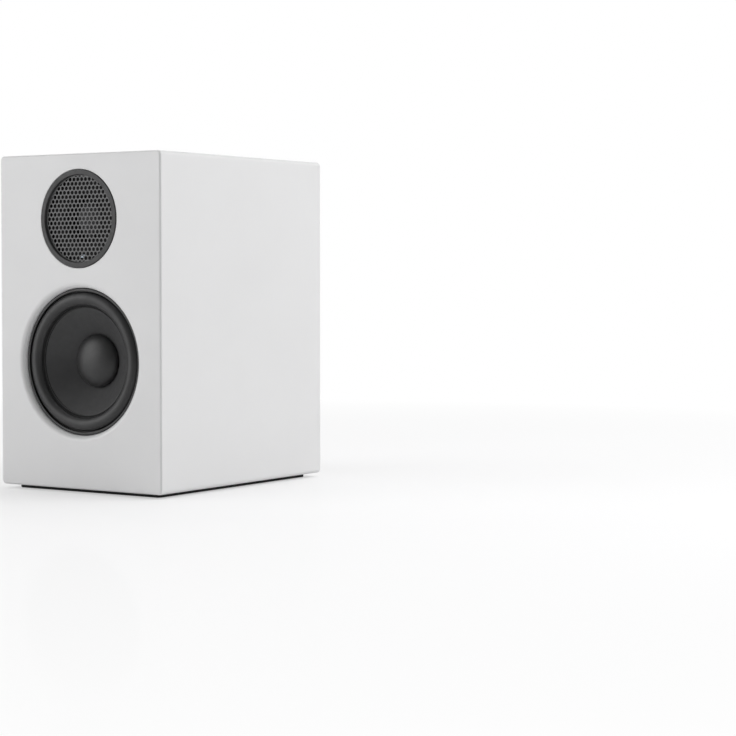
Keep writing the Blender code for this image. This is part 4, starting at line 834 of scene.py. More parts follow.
FINISHES: dict[str, Finish] = {
    # Its second colour is also the painted shade on the rounded edges and the woofer's rounded mouth.
    "white_lacquer": Finish(
        (0.80, 0.80, 0.802), (0.7, 0.7, 0.702), 60 * MM, (0.36, 0.44), 1.4 * MM, 0.006 * MM, 0.25,
        coat=0.1, pattern=Pattern.EDGE_SHADED, mottle=0.15,
    ),
    "rear_lacquer": Finish(
        (0.79, 0.79, 0.795), (0.77, 0.77, 0.775), 40 * MM, (0.38, 0.48), 1.2 * MM, 0.015 * MM, 0.4
    ),
    "pad_rubber": Finish(
        (0.016, 0.016, 0.017), (0.028, 0.028, 0.028), 9 * MM, (0.75, 0.9), 0.3 * MM, 0.05 * MM, 0.6,
        pattern=Pattern.SPECKLED, pitch=0.7 * MM,
    ),
    "wadding_fibre": Finish(
        (0.72, 0.71, 0.68), (0.55, 0.54, 0.5), 6 * MM, (0.9, 1.0), 0.6 * MM, 0.5 * MM, 0.8,
        sheen=0.4, pattern=Pattern.FIBROUS, pitch=2.2 * MM,
    ),
    "black_plastic": Finish(
        (0.014, 0.014, 0.0145), (0.02, 0.02, 0.0205), 14 * MM, (0.34, 0.44), 0.35 * MM, 0.015 * MM, 0.4,
        wear=0.12,
    ),
    "knob_plastic": Finish(
        (0.017, 0.017, 0.018), (0.026, 0.026, 0.027), 5 * MM, (0.5, 0.62), 0.3 * MM, 0.02 * MM, 0.5,
        wear=0.25,
    ),
    "bezel_plastic": Finish(
        (0.029, 0.029, 0.0295), (0.036, 0.036, 0.0365), 10 * MM, (0.45, 0.55), 0.35 * MM, 0.015 * MM, 0.4,
        wear=0.1,
    ),
    "black_steel": Finish(
        (0.02, 0.02, 0.021), (0.03, 0.03, 0.03), 12 * MM, (0.4, 0.6), 0.4 * MM, 0.03 * MM, 0.6,
        wear=0.3,
    ),
    "surround_rubber": Finish(
        (0.018, 0.018, 0.0185), (0.023, 0.023, 0.0235), 11 * MM, (0.42, 0.5), 0.3 * MM, 0.01 * MM, 0.3
    ),
    "cone_skin": Finish(
        (0.034, 0.034, 0.035), (0.04, 0.04, 0.041), 7 * MM, (0.5, 0.6), 0.6 * MM, 0.015 * MM, 0.4
    ),
    "cap_skin": Finish(
        (0.02, 0.02, 0.0205), (0.025, 0.025, 0.0255), 6 * MM, (0.4, 0.47), 0.45 * MM, 0.01 * MM, 0.3
    ),
    "spider_cloth": Finish(
        (0.42, 0.27, 0.10), (0.33, 0.20, 0.07), 8 * MM, (0.75, 0.88), 0.2 * MM, 0.03 * MM, 0.5,
        pattern=Pattern.WOVEN, pitch=0.6 * MM,
    ),
    "former_film": Finish(
        (0.36, 0.17, 0.03), (0.28, 0.12, 0.02), 5 * MM, (0.22, 0.34), 0.3 * MM, 0.01 * MM, 0.3, coat=0.3
    ),
    "coil_copper": Finish(
        (0.72, 0.33, 0.14), (0.36, 0.13, 0.05), 3 * MM, (0.25, 0.4), 0.2 * MM, 0.01 * MM, 0.3,
        metallic=1.0, pattern=Pattern.WOUND, pitch=0.25 * MM,
    ),
    "plated_steel": Finish(
        (0.62, 0.62, 0.6), (0.5, 0.51, 0.53), 4 * MM, (0.25, 0.42), 0.3 * MM, 0.01 * MM, 0.4, metallic=1.0
    ),
    "ferrite": Finish(
        (0.045, 0.045, 0.048), (0.09, 0.09, 0.092), 6 * MM, (0.6, 0.8), 0.3 * MM, 0.04 * MM, 0.6,
        pattern=Pattern.SPECKLED, pitch=0.9 * MM,
    ),
    "mesh_metal": Finish(
        (0.115, 0.115, 0.117), (0.13, 0.13, 0.132), 8 * MM, (0.38, 0.5), 0.25 * MM, 0.012 * MM, 0.4,
        wear=0.15,
    ),
    "dome_silk": Finish(
        (0.05, 0.05, 0.053), (0.065, 0.065, 0.068), 5 * MM, (0.35, 0.48), 0.2 * MM, 0.01 * MM, 0.3,
        sheen=0.2, pattern=Pattern.WOVEN, pitch=0.35 * MM,
    ),
    "led_lens": Finish(
        (0.75, 0.8, 0.86), (0.7, 0.75, 0.82), 1 * MM, (0.18, 0.28), 0.2 * MM, 0.004 * MM, 0.3,
        pattern=Pattern.GLOWING,
    ),
    "plate_paint": Finish(
        (0.02, 0.02, 0.021), (0.028, 0.028, 0.029), 18 * MM, (0.52, 0.62), 0.45 * MM, 0.03 * MM, 0.6
    ),
    "sink_aluminium": Finish(
        (0.035, 0.035, 0.037), (0.06, 0.06, 0.063), 10 * MM, (0.34, 0.46), 0.3 * MM, 0.01 * MM, 0.3,
        metallic=0.6, pattern=Pattern.DRAWN, pitch=0.5 * MM,
    ),
    "board_resin": Finish(
        (0.012, 0.09, 0.035), (0.03, 0.19, 0.07), 9 * MM, (0.28, 0.4), 0.3 * MM, 0.01 * MM, 0.3,
        coat=0.3, pattern=Pattern.TRACED, pitch=5.0 * MM,
    ),
    "transformer_wrap": Finish(
        (0.68, 0.5, 0.1), (0.5, 0.33, 0.05), 5 * MM, (0.3, 0.45), 0.4 * MM, 0.02 * MM, 0.4,
        coat=0.2, pattern=Pattern.WOUND, pitch=2.4 * MM,
    ),
    "nickel": Finish(
        (0.66, 0.64, 0.6), (0.58, 0.56, 0.52), 3 * MM, (0.24, 0.34), 0.5 * MM, 0.004 * MM, 0.15,
        metallic=1.0,
    ),
    "post_metal": Finish(
        (0.78, 0.56, 0.22), (0.68, 0.47, 0.17), 3 * MM, (0.24, 0.34), 0.5 * MM, 0.004 * MM, 0.15,
        metallic=1.0,
    ),
    "red_plastic": Finish(
        (0.42, 0.012, 0.012), (0.34, 0.008, 0.009), 4 * MM, (0.25, 0.36), 0.3 * MM, 0.01 * MM, 0.3,
        coat=0.2, wear=0.15,
    ),
    "lead_sheath": Finish(
        (0.03, 0.03, 0.031), (0.04, 0.04, 0.041), 6 * MM, (0.5, 0.65), 0.3 * MM, 0.02 * MM, 0.5, sheen=0.1
    ),
    "glue": Finish(
        (0.01, 0.01, 0.01), (0.014, 0.014, 0.014), 3 * MM, (0.7, 0.85), 0.4 * MM, 0.04 * MM, 0.5,
        specular=0.2,
    ),
    # The horn's own plastic is the bezel's; this far darker copy is painted shade in the recess behind
    # the mesh.
    "horn_painted_shade": Finish(
        (0.005, 0.005, 0.005), (0.008, 0.008, 0.008), 6 * MM, (0.55, 0.7), 0.35 * MM, 0.02 * MM, 0.4,
        specular=0.3,
    ),
    "white_plastic": Finish(
        (0.72, 0.72, 0.7), (0.66, 0.66, 0.63), 3 * MM, (0.35, 0.45), 0.3 * MM, 0.01 * MM, 0.3
    ),
    "print_ink": Finish(
        (0.62, 0.62, 0.61), (0.5, 0.5, 0.49), 2 * MM, (0.5, 0.65), 0.2 * MM, 0.01 * MM, 0.4
    ),
}


def dress(piece: bpy.types.Object, finish: str) -> None:
    """Gives a whole piece one finish."""
    piece.data.materials.clear()
    piece.data.materials.append(FINISHES[finish].material(finish))


def fit(piece: bpy.types.Object, body: str, finish: str, *nodes: str) -> bpy.types.Object:
    """Dresses a piece, sets it on a body and lets it stand for solids.

    Args:
        piece: the piece, in place.
        body: the body that carries it.
        finish: its finish, by name.
        nodes: the solids it stands for.

    Returns:
        The same piece.
    """
    dress(piece, finish)
    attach(piece, body)
    if nodes:
        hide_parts(*nodes)
    LOG.info("%s rides on %s", piece.name, body)
    return piece


def fit_bending(
    name: str, profile: Sequence[Point], axis: Axis, wedges: int, sides: int,
    bodies: tuple[str, str], finish: str, node: str,
) -> None:
    """Builds a flexible ring, which lies between a fixed and a moving body, as wedges.

    Every wedge is turned over its own slice of the ring, so neighbours meet at their shared sides.

    Args:
        name: first part of each wedge's name.
        profile: the ring's cross-section.
        axis: the ring's axis.
        wedges: how many wedges there are.
        sides: steps in each wedge.
        bodies: the body outside and the body inside.
        finish: the finish's name.
        node: the solid that the ring stands for.
    """
    for index in range(wedges):
        first = FULL_TURN * index / wedges
        last = FULL_TURN * (index + 1) / wedges
        piece = turned(f"{name}_{index + 1:02d}", profile, axis, sides, (first, last))
        dress(piece, finish)
        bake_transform(piece)
        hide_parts(node)
    LOG.info("%s: %d wedges bend between %s and %s", name, wedges, *bodies)


def dress_nodes(nodes: dict[str, str]) -> None:
    """Gives solids that stay as they are their finishes.

    Args:
        nodes: each solid's name and its finish.
    """
    for name, finish in nodes.items():
        node = frame["nodes"][name]
        for slot in node.material_slots:
            slot.material = FINISHES[finish].material(finish)
        LOG.info("%s keeps its solid in %s", name, finish)


# ------------------------------------------------------------------------ cabinet
@dataclass
class Cabinet:
    """The lacquered shell, the pad under it and the dressing of its inside.

    Attributes:
        wall: thickness of the board, lacquer included.
        edge: rounding of the outer edges.
        baffle: depth of the front baffle.
        mouth: radius of the woofer's seat, and of its soft front edge.
        rebate: radius and depth of the tweeter's seat.
        bores: radius of the woofer's bore and of the tweeter's.
        seat: depth of the woofer's seat.
        inside: rounding of the shell's inner corners, and the bevel round its open rear.
        rebate_bevel: bevel round the tweeter's seat.
        pad: rounding of the pad's corners and of its lower edge.
    """

    wall: float = 12.0 * MM
    edge: float = 1.6 * MM
    baffle: float = 15.0 * MM
    mouth: Point = (53.0 * MM, 4.2 * MM)
    rebate: Point = (35.3 * MM, 4.3 * MM)
    bores: Point = (47.7 * MM, 31.3 * MM)
    seat: float = 10.1 * MM
    inside: Point = (1.0 * MM, 0.8 * MM)
    rebate_bevel: float = 0.25 * MM
    pad: Point = (3.0 * MM, 0.6 * MM)

    def build(self) -> None:
        """Builds the shell and the pad, and dresses the rear panel and wadding."""
        fit(self.shell(), "cabinet", "white_lacquer", "front_baffle", "left_side_panel",
            "right_side_panel", "top_panel", "bottom_panel")
        fit(self.foot(), "cabinet", "pad_rubber", "base_pad")
        dress_nodes({"rear_panel": "rear_lacquer", "damping_wadding": "wadding_fibre"})

    def shell(self) -> bpy.types.Object:
        """The five panels as one lacquered body, open at the rear.

        Returns:
            The shell with its two openings.
        """
        left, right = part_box("left_side_panel")[0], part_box("right_side_panel")[1]
        bottom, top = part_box("bottom_panel")[0].z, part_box("top_panel")[1].z
        front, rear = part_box("front_baffle")[0].y, right.y
        half = ((right.x - left.x) / 2.0, (top - bottom) / 2.0)
        axis = Axis((left.x + right.x) / 2.0, 0.0, (bottom + top) / 2.0)
        ends = soft_end(0.0, front, self.edge, 6)[::-1] + soft_end(0.0, rear, self.edge, 6)[1:]
        shell = layered("cabinet_shell", box_outline(half, [self.edge * 2.0] * 4, 8), ends, axis)
        corner, bevel = self.inside
        hollow = box_outline((half[0] - self.wall, half[1] - self.wall), [corner] * 4, 3)
        layers = [(0.0, front + self.baffle), (0.0, rear - bevel)]
        layers += [(-bevel, rear), (-bevel, rear + OVERSHOOT)]
        cut(shell, layered("hollow", hollow, layers, axis))
        self.cut_openings(shell, front)
        return soften(shell)

    def cut_openings(self, shell: bpy.types.Object, front: float) -> None:
        """Cuts the woofer's soft-edged opening and the tweeter's rebate.

        Args:
            shell: the cabinet's body.
            front: where its front plane lies.
        """
        through = self.baffle + OVERSHOOT
        radius, soft = self.mouth
        outline = [(0.0, -OVERSHOOT), (radius + soft, -OVERSHOOT)]
        outline += arc((radius + soft, soft), (soft, soft), 270.0, 180.0, 14)
        outline += [(radius, self.seat), (self.bores[0], self.seat)]
        outline += [(self.bores[0], through), (0.0, through)]
        spot = centre_of("woofer_trim_ring")
        cut(shell, turned("opening", outline, Axis(spot.x, front, spot.z), FINE_SIDES))
        radius, depth = self.rebate
        bevel = self.rebate_bevel
        outline = [
            (0.0, -OVERSHOOT), (radius + bevel, -OVERSHOOT), (radius + bevel, 0.0), (radius, bevel),
            (radius, depth), (self.bores[1], depth), (self.bores[1], through), (0.0, through),
        ]
        spot = centre_of("tweeter_faceplate")
        cut(shell, turned("rebate", outline, Axis(spot.x, front, spot.z), FINE_SIDES))

    def foot(self) -> bpy.types.Object:
        """The foam pad that the cabinet stands on, its lower edge slightly rounded.

        Returns:
            The pad.
        """
        low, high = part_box("base_pad")
        half = ((high.x - low.x) / 2.0, (high.y - low.y) / 2.0)
        outline = box_outline(half, [self.pad[0]] * 4, 6)
        return upright("cabinet_pad", outline, soft_end(high.z, low.z, self.pad[1]))


# ------------------------------------------------------------------------- woofer
@dataclass
class Woofer:
    """The bass driver as it shows in the opening, and the dressing of its motor.

    Attributes:
        trim: inner and outer radius of the trim ring.
        trim_depth: where its front and back lie behind the baffle's plane.
        trim_edge: rounding of its edges.
        roll: inner and outer radius of the half roll.
        lap: radius where the surround's inner lap ends.
        lap_depth: how deep the surround's flat parts lie.
        roll_height: how far the roll stands out.
        rubber: thickness of the surround.
        wedges: wedges that the surround and the spider are made of.
        thinned: how much thinner the inner lap's end is.
        cone_edge: radius of the cone's flat edge, and its depth.
        slope: tilt of the cone's wall.
        bend: half width of the bend between the cone's edge and its wall.
        neck: radius of the cone's neck.
        paper: thickness of the cone.
        cap: radius and height of the dust cap.
        cap_skin: thickness of the dust cap.
        bead: cross-section of the bead of glue where rubber and cone meet, in millimetres.
        bead_edge: rounding of the bead's corners.
        spider: inner and outer radius of the centring disc.
        spider_land: how much of it stays flat at either end; not used.
        spider_cloth: its thickness.
        spider_waves: number of its waves and their height.
    """

    trim: Point = (50.6 * MM, 52.5 * MM)
    trim_depth: Point = (3.8 * MM, 6.1 * MM)
    trim_edge: float = 0.45 * MM
    roll: Point = (40.2 * MM, 50.1 * MM)
    lap: float = 38.5 * MM
    lap_depth: float = 6.4 * MM
    roll_height: float = 3.8 * MM
    rubber: float = 0.7 * MM
    wedges: tuple[int, int] = (18, 12)
    thinned: float = 0.12 * MM
    cone_edge: Point = (39.9 * MM, 7.4 * MM)
    slope: float = math.radians(36.0)
    bend: float = 0.8 * MM
    neck: float = 13.1 * MM
    paper: float = 0.8 * MM
    cap: Point = (19.15 * MM, 8.0 * MM)
    cap_skin: float = 0.6 * MM
    bead: tuple[Point, ...] = (
        (40.15, 6.3), (39.5, 6.48), (39.0, 6.68), (38.6, 7.1), (38.4, 7.4), (38.4, 7.9), (40.15, 7.0)
    )
    bead_edge: float = 0.15 * MM
    spider: Point = (13.1 * MM, 30.0 * MM)
    spider_land: float = 1.5 * MM
    spider_cloth: float = 0.5 * MM
    spider_waves: Point = (3.0, 1.1 * MM)

    def build(self) -> None:
        """Builds everything from the trim ring to the centring disc."""
        spot = centre_of("woofer_trim_ring")
        axis = Axis(spot.x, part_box("front_baffle")[0].y, spot.z)
        moving = "woofer_diaphragm"
        trim = turned("woofer_trim", self.trim_profile(), axis, FINE_SIDES)
        fit(trim, "cabinet", "black_plastic", "woofer_trim_ring")
        fit_bending("woofer_surround_part", self.surround_profile(), axis, self.wedges[0], 12,
                    ("cabinet", moving), "surround_rubber", "woofer_surround")
        cone = turned("woofer_cone_body", self.cone_profile(), axis, FINE_SIDES)
        fit(cone, moving, "cone_skin", "woofer_cone")
        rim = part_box("woofer_dust_cap")[1].y - axis.y
        cap = turned("woofer_cap", domed(rim, self.cap, self.cap_skin, 26), axis)
        fit(cap, moving, "cap_skin", "woofer_dust_cap")
        bead = rounded([(radius * MM, depth * MM) for radius, depth in self.bead], self.bead_edge, 3)
        fit(turned("woofer_glue_bead", bead, axis, FINE_SIDES), moving, "glue")
        fit_bending("woofer_spider_part", self.spider_profile(), axis, self.wedges[1], 8,
                    ("cabinet", moving), "spider_cloth", "woofer_spider")
        nodes = {"woofer_coil_former": "former_film", "woofer_voice_coil": "coil_copper",
                 "woofer_frame": "black_steel", "woofer_top_plate": "plated_steel",
                 "woofer_magnet": "ferrite", "woofer_yoke": "plated_steel",
                 "woofer_terminal_strip": "board_resin", "woofer_lead": "lead_sheath"}
        nodes.update({f"woofer_screw_{index + 1}": "black_steel" for index in range(4)})
        dress_nodes(nodes)

    def trim_profile(self) -> list[Point]:
        """Cross-section of the flat trim ring, its front edges softened.

        Returns:
            The closed outline.
        """
        inner, outer = self.trim
        front, back = self.trim_depth
        corners = [(inner, front), (outer, front), (outer, back), (inner, back)]
        return rounded(corners, self.trim_edge, 5)

    def surround_profile(self) -> list[Point]:
        """Cross-section of the rubber half roll with its two flat parts.

        Returns:
            The closed outline.
        """
        inner, outer = self.roll
        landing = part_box("woofer_surround")[1].x
        middle, half = (inner + outer) / 2.0, (outer - inner) / 2.0
        front, back = self.lap_depth, self.lap_depth + self.rubber
        outline = [(landing, back), (landing, front)]
        outline += arc((middle, front), (half, self.roll_height), 0.0, -180.0, 20)
        outline += [(self.lap, back - self.thinned), (self.lap, back)]
        outline += arc((middle, back), (half - self.rubber, self.roll_height), 180.0, 360.0, 20)
        return outline

    def cone_profile(self) -> list[Point]:
        """Cross-section of the cone, with its flat glued edge and its neck.

        Returns:
            The closed outline.
        """
        edge, depth = self.cone_edge
        fall = math.tan(self.slope)
        neck_depth = depth + (self.lap - self.neck) * fall
        bend = self.bend
        front = [(edge, depth), (self.lap + bend, depth), (self.lap - bend, depth + bend * fall)]
        behind = [(radius, level + self.paper) for radius, level in reversed(front)]
        neck = [(self.neck, neck_depth), (self.neck, neck_depth + self.paper * 1.6)]
        return front + neck + behind

    def spider_profile(self) -> list[Point]:
        """Cross-section of the waved centring disc.

        Returns:
            The closed outline.
        """
        low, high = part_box("woofer_spider")
        middle = (low.y + high.y) / 2.0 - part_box("front_baffle")[0].y
        inner, outer = self.spider
        count, height = self.spider_waves
        cloth = self.spider_cloth
        steps = 36
        front = []
        for step in range(steps + 1):
            share = step / steps
            wave = height * math.sin(FULL_TURN * count * share)
            front.append((inner + (outer - inner) * share, middle + wave - cloth / 2.0))
        return front + [(radius, level + cloth) for radius, level in reversed(front)]


# ------------------------------------------------------------------------ tweeter
@dataclass
class Tweeter:
    """The treble driver behind its round perforated mesh, with the indicator light.

    Attributes:
        proud: how far the bezel stands out of the baffle.
        bezel: inner and outer radius of the bezel.
        bezel_edge: rounding of its front.
        bezel_back: depth where it meets the horn.
        mesh_seat: depth of the ledge that carries the mesh.
        throat: middle and half axes of the horn's flare.
        flare_edge: radius and depth where the flare begins.
        horn_back: the horn's outline behind, from its throat to its outer wall.
        light_bore: first and last depth of the bore for the light.
        mesh_depth: where the mesh's front and back lie.
        pitch: spacing of the mesh's holes along a row.
        hole: radius of a hole, and the bevel round it.
        rim: solid width left at the mesh's edge.
        dome: radius and height of the dome.
        foot: depth of the dome's foot.
        silk: thickness of the dome.
        roll: middle, half width and height of the suspension's roll.
        roll_land: radius where the roll's outer and inner lands begin.
        cloth: thickness of the suspension.
        light: radius of the indicator light, and of its flange.
        light_flange: thickness of that flange.
    """

    proud: float = 0.5 * MM
    bezel: Point = (31.4 * MM, 35.0 * MM)
    bezel_edge: float = 0.4 * MM
    bezel_back: float = 4.0 * MM
    mesh_seat: float = 2.6 * MM
    throat: tuple[Point, Point] = ((20.8 * MM, 14.4 * MM), (6.8 * MM, 7.8 * MM))
    flare_edge: Point = (29.6 * MM, 5.4 * MM)
    horn_back: tuple[Point, ...] = (
        (14.0 * MM, 14.9 * MM), (17.4 * MM, 14.9 * MM), (17.4 * MM, 16.9 * MM), (19.9 * MM, 16.9 * MM),
        (21.8 * MM, 8.8 * MM), (29.0 * MM, 7.6 * MM), (29.0 * MM, 20.0 * MM), (31.0 * MM, 20.0 * MM),
        (31.0 * MM, 4.0 * MM),
    )
    light_bore: Point = (4.0 * MM, 12.0 * MM)
    mesh_depth: Point = (1.7 * MM, 2.3 * MM)
    pitch: float = 3.6 * MM
    hole: Point = (1.4 * MM, 0.1 * MM)
    rim: float = 0.4 * MM
    dome: Point = (12.6 * MM, 6.5 * MM)
    foot: float = 16.4 * MM
    silk: float = 0.5 * MM
    roll: tuple[float, float, float] = (13.7 * MM, 0.8 * MM, 0.8 * MM)
    roll_land: Point = (14.5 * MM, 12.9 * MM)
    cloth: float = 0.4 * MM
    light: Point = (1.0 * MM, 1.9 * MM)
    light_flange: float = 3.0 * MM

    def build(self) -> None:
        """Builds the face, mesh, dome, suspension and light, and dresses the motor."""
        spot = centre_of("tweeter_faceplate")
        axis = Axis(spot.x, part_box("front_baffle")[0].y, spot.z)
        light = centre_of("status_led")
        beam = Axis(light.x, axis.y, light.z)
        bezel = turned("tweeter_bezel", self.bezel_profile(), axis, FINE_SIDES)
        fit(bezel, "cabinet", "bezel_plastic", "tweeter_faceplate")
        horn = turned("tweeter_horn", self.horn_profile(), axis, FINE_SIDES)
        bore = circle(self.light[0] + GAP, 32)
        cut(horn, layered("bore", bore, [(0.0, depth) for depth in self.light_bore], beam))
        # The horn takes a far darker copy of the bezel's plastic, as painted shade behind the mesh.
        fit(soften(horn), "cabinet", "horn_painted_shade", "tweeter_faceplate")
        fit(self.mesh(axis), "cabinet", "mesh_metal", "tweeter_grille")
        dome = turned("tweeter_dome_body", domed(self.foot, self.dome, self.silk, 18), axis)
        fit(dome, "tweeter_diaphragm", "dome_silk", "tweeter_dome")
        fit_bending("tweeter_suspension_part", self.suspension_profile(), axis, 12, 6,
                    ("cabinet", "tweeter_diaphragm"), "dome_silk", "tweeter_suspension")
        lens = turned("indicator_lens", self.light_profile(), beam, SMALL_SIDES)
        fit(lens, "cabinet", "led_lens", "status_led")
        dress_nodes({"tweeter_voice_coil": "coil_copper", "tweeter_top_plate": "plated_steel",
                     "tweeter_magnet": "ferrite", "tweeter_yoke": "plated_steel",
                     "tweeter_clamp_ring": "black_plastic", "tweeter_lead": "lead_sheath"})

    def bezel_profile(self) -> list[Point]:
        """Cross-section of the bezel that stands round the mesh.

        Returns:
            The closed outline.
        """
        inner, outer = self.bezel
        edge = self.bezel_edge
        front = -self.proud
        points = arc((outer - edge, front + edge), (edge, edge), 0.0, -90.0, 4)
        points += arc((inner + edge, front + edge), (edge, edge), 270.0, 180.0, 4)
        return points + [(inner, self.bezel_back), (outer, self.bezel_back)]

    def horn_profile(self) -> list[Point]:
        """Cross-section of the ledge, the horn and the collar behind it.

        Returns:
            The closed outline.
        """
        outer = self.bezel[0]
        points = [(outer, self.mesh_seat), (outer - 1.0 * MM, self.mesh_seat), self.flare_edge]
        points += arc(*self.throat, 270.0, 180.0, 18)
        return [*points, *self.horn_back, (outer, self.bezel_back)]

    def suspension_profile(self) -> list[Point]:
        """Cross-section of the dome's small half roll and its landing.

        Returns:
            The closed outline.
        """
        middle, half, height = self.roll
        front, back = self.foot, self.foot + self.cloth
        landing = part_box("tweeter_suspension")[1].x
        outline = [(landing, back), (landing, front)]
        outline += arc((middle, front), (half, height), 0.0, -180.0, 8)
        outline += [(self.roll_land[1], back)]
        return outline + arc((middle, back), (half - self.cloth, height), 180.0, 360.0, 8)

    def light_profile(self) -> list[Point]:
        """Cross-section of the indicator's light guide.

        Returns:
            The closed outline.
        """
        low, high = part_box("status_led")
        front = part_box("front_baffle")[0].y
        tip, tail = low.y - front, high.y - front
        radius, flange = self.light
        outline = arc((0.0, tip + radius), (radius, radius), 270.0, 360.0, 8)
        outline[0] = (0.0, tip)
        shoulder = tail - self.light_flange
        return outline + [(radius, shoulder), (flange, shoulder), (flange, tail), (0.0, tail)]

    def mesh(self, axis: Axis) -> bpy.types.Object:
        """The perforated disc: round holes in staggered rows, cut off by the rim.

        Args:
            axis: the tweeter's axis.

        Returns:
            The disc.
        """
        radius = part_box("tweeter_grille")[1].x
        front, back = self.mesh_depth
        bore, bevel = self.hole
        rise = self.pitch * math.sqrt(3.0) / 2.0
        shape = bmesh.new()
        rows = int(radius / rise) + 2
        columns = int(radius / self.pitch) + 2
        for row in range(-rows, rows + 1):
            for column in range(-columns, columns + 1):
                centre = ((column + 0.5 * (row % 2)) * self.pitch, row * rise)
                edge = self.held(self.hexagon(centre), radius)
                if abs(signed_area(edge)) < LEAST_CELL * self.pitch**2:
                    continue
                hole = self.held(circle(bore, HOLE_SIDES, centre), radius - self.rim)
                wide = self.held(circle(bore + bevel, HOLE_SIDES, centre), radius - self.rim + bevel)
                if abs(signed_area(hole)) < LEAST_HOLE * bore**2:
                    for level in (front, back):
                        shape.faces.new([shape.verts.new(axis.at(*spot, level)) for spot in edge])
                    continue
                stack = ((edge, front), (wide, front), (hole, front + bevel), (hole, back - bevel),
                         (wide, back), (edge, back))
                rings = []
                for ring, level in stack:
                    rings.append([shape.verts.new(axis.at(*spot, level)) for spot in ring])
                for before, after in zip(rings, rings[1:]):
                    for step in range(HOLE_SIDES):
                        onward = (step + 1) % HOLE_SIDES
                        shape.faces.new([before[step], before[onward], after[onward], after[step]])
        bmesh.ops.remove_doubles(shape, verts=shape.verts, dist=0.01 * MM)
        bmesh.ops.dissolve_degenerate(shape, dist=0.005 * MM, edges=shape.edges)
        self.close_rim(shape, axis, radius)
        bmesh.ops.recalc_face_normals(shape, faces=shape.faces)
        data = bpy.data.meshes.new("tweeter_mesh")
        shape.to_mesh(data)
        shape.free()
        return soften(new_piece("tweeter_mesh", data))

    def close_rim(self, shape: bmesh.types.BMesh, axis: Axis, radius: float) -> None:
        """Walls in the disc's outer edge between its front and its back.

        Args:
            shape: the disc with its rim open.
            axis: the tweeter's axis.
            radius: the disc's radius.
        """
        rim = [edge for edge in shape.edges if edge.is_boundary]
        middle = axis.y + sum(self.mesh_depth) / 2.0
        front = [edge for edge in rim if edge.verts[0].co.y < middle]

        def place(vertex: bmesh.types.BMVert) -> Point:
            """Where a corner lies across the disc, to a thousandth of a millimetre."""
            return round(vertex.co.x, 6), round(vertex.co.z, 6)

        behind = {}
        for edge in rim:
            behind.update({place(vertex): vertex for vertex in edge.verts if vertex.co.y > middle})
        for edge in front:
            first, second = edge.verts
            pair = [behind.get(place(vertex)) for vertex in (second, first)]
            if None not in pair:
                shape.faces.new([first, second, *pair])

    def hexagon(self, centre: Point) -> list[Point]:
        """One hole's share of the disc, its sides split so that neighbours meet.

        Args:
            centre: middle of the hole.

        Returns:
            As many points as the hole has, anticlockwise from the right.
        """
        reach = self.pitch / math.sqrt(3.0)
        share = HOLE_SIDES // 6
        corners = []
        for turn in range(7):
            angle = math.radians(60.0 * turn - 30.0)
            corners.append(Vector((reach * math.cos(angle), reach * math.sin(angle))))
        made = []
        for first, second in zip(corners, corners[1:]):
            for step in range(share):
                spot = first.lerp(second, step / share)
                made.append((centre[0] + spot.x, centre[1] + spot.y))
        return made[share // 2:] + made[:share // 2]

    def held(self, points: Sequence[Point], radius: float) -> list[Point]:
        """Draws points in to a radius wherever they lie beyond it."""
        scales = [min(1.0, radius / max(math.hypot(x, y), MERGE)) for x, y in points]
        return [(x * scale, y * scale) for (x, y), scale in zip(points, scales)]


# --------------------------------------------------------------------- rear parts
def bar(name: str, start: Point, end: Point, width: float, levels: Point, axis: Axis) -> bpy.types.Object:
    """A thin round-ended bar, for a printed line or a raised mark.

    Args:
        name: the piece's name.
        start: middle of its first end, across the axis.
        end: middle of its second end.
        width: its width.
        levels: where it begins and ends along the axis.
        axis: the axis.

    Returns:
        The new piece.
    """
    way = math.degrees(math.atan2(end[1] - start[1], end[0] - start[0]))
    radii = (width / 2.0, width / 2.0)
    outline = arc(end, radii, way - 90.0, way + 90.0, 6) + arc(start, radii, way + 90.0, way + 270.0, 6)
    return layered(name, outline, [(0.0, levels[0]), (0.0, levels[1])], axis)


@dataclass
class ReflexPort:
    """The flared tube that ends in the rear panel.

    Attributes:
        bore: radius of the tube's bore.
        wall: thickness of the tube.
        flange: radius of the flange.
        lip: how far the flange stands out.
        edge: rounding of the flange.
        flare: radius of the flared mouth.
        length: length of the tube.
    """

    bore: float = 17.0 * MM
    wall: float = 2.0 * MM
    flange: float = 27.0 * MM
    lip: float = 2.8 * MM
    edge: float = 1.0 * MM
    flare: float = 5.0 * MM
    length: float = 85.0 * MM

    def build(self) -> None:
        """Builds the tube with its flange and its flared mouth."""
        spot = centre_of("port_tube")
        axis = Axis(spot.x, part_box("rear_panel")[1].y, spot.z)
        outer = self.bore + self.wall
        edge = self.edge
        outline = [(outer, GAP), (self.flange, GAP)]
        outline += arc((self.flange - edge, self.lip - edge), (edge, edge), 0.0, 90.0, 5)
        centre = (self.bore + self.flare, self.lip - self.flare)
        outline += arc(centre, (self.flare, self.flare), 90.0, 180.0, 14)
        outline += [(self.bore, -self.length), (outer, -self.length)]
        fit(turned("reflex_port", outline, axis), "cabinet", "black_plastic", "port_tube")


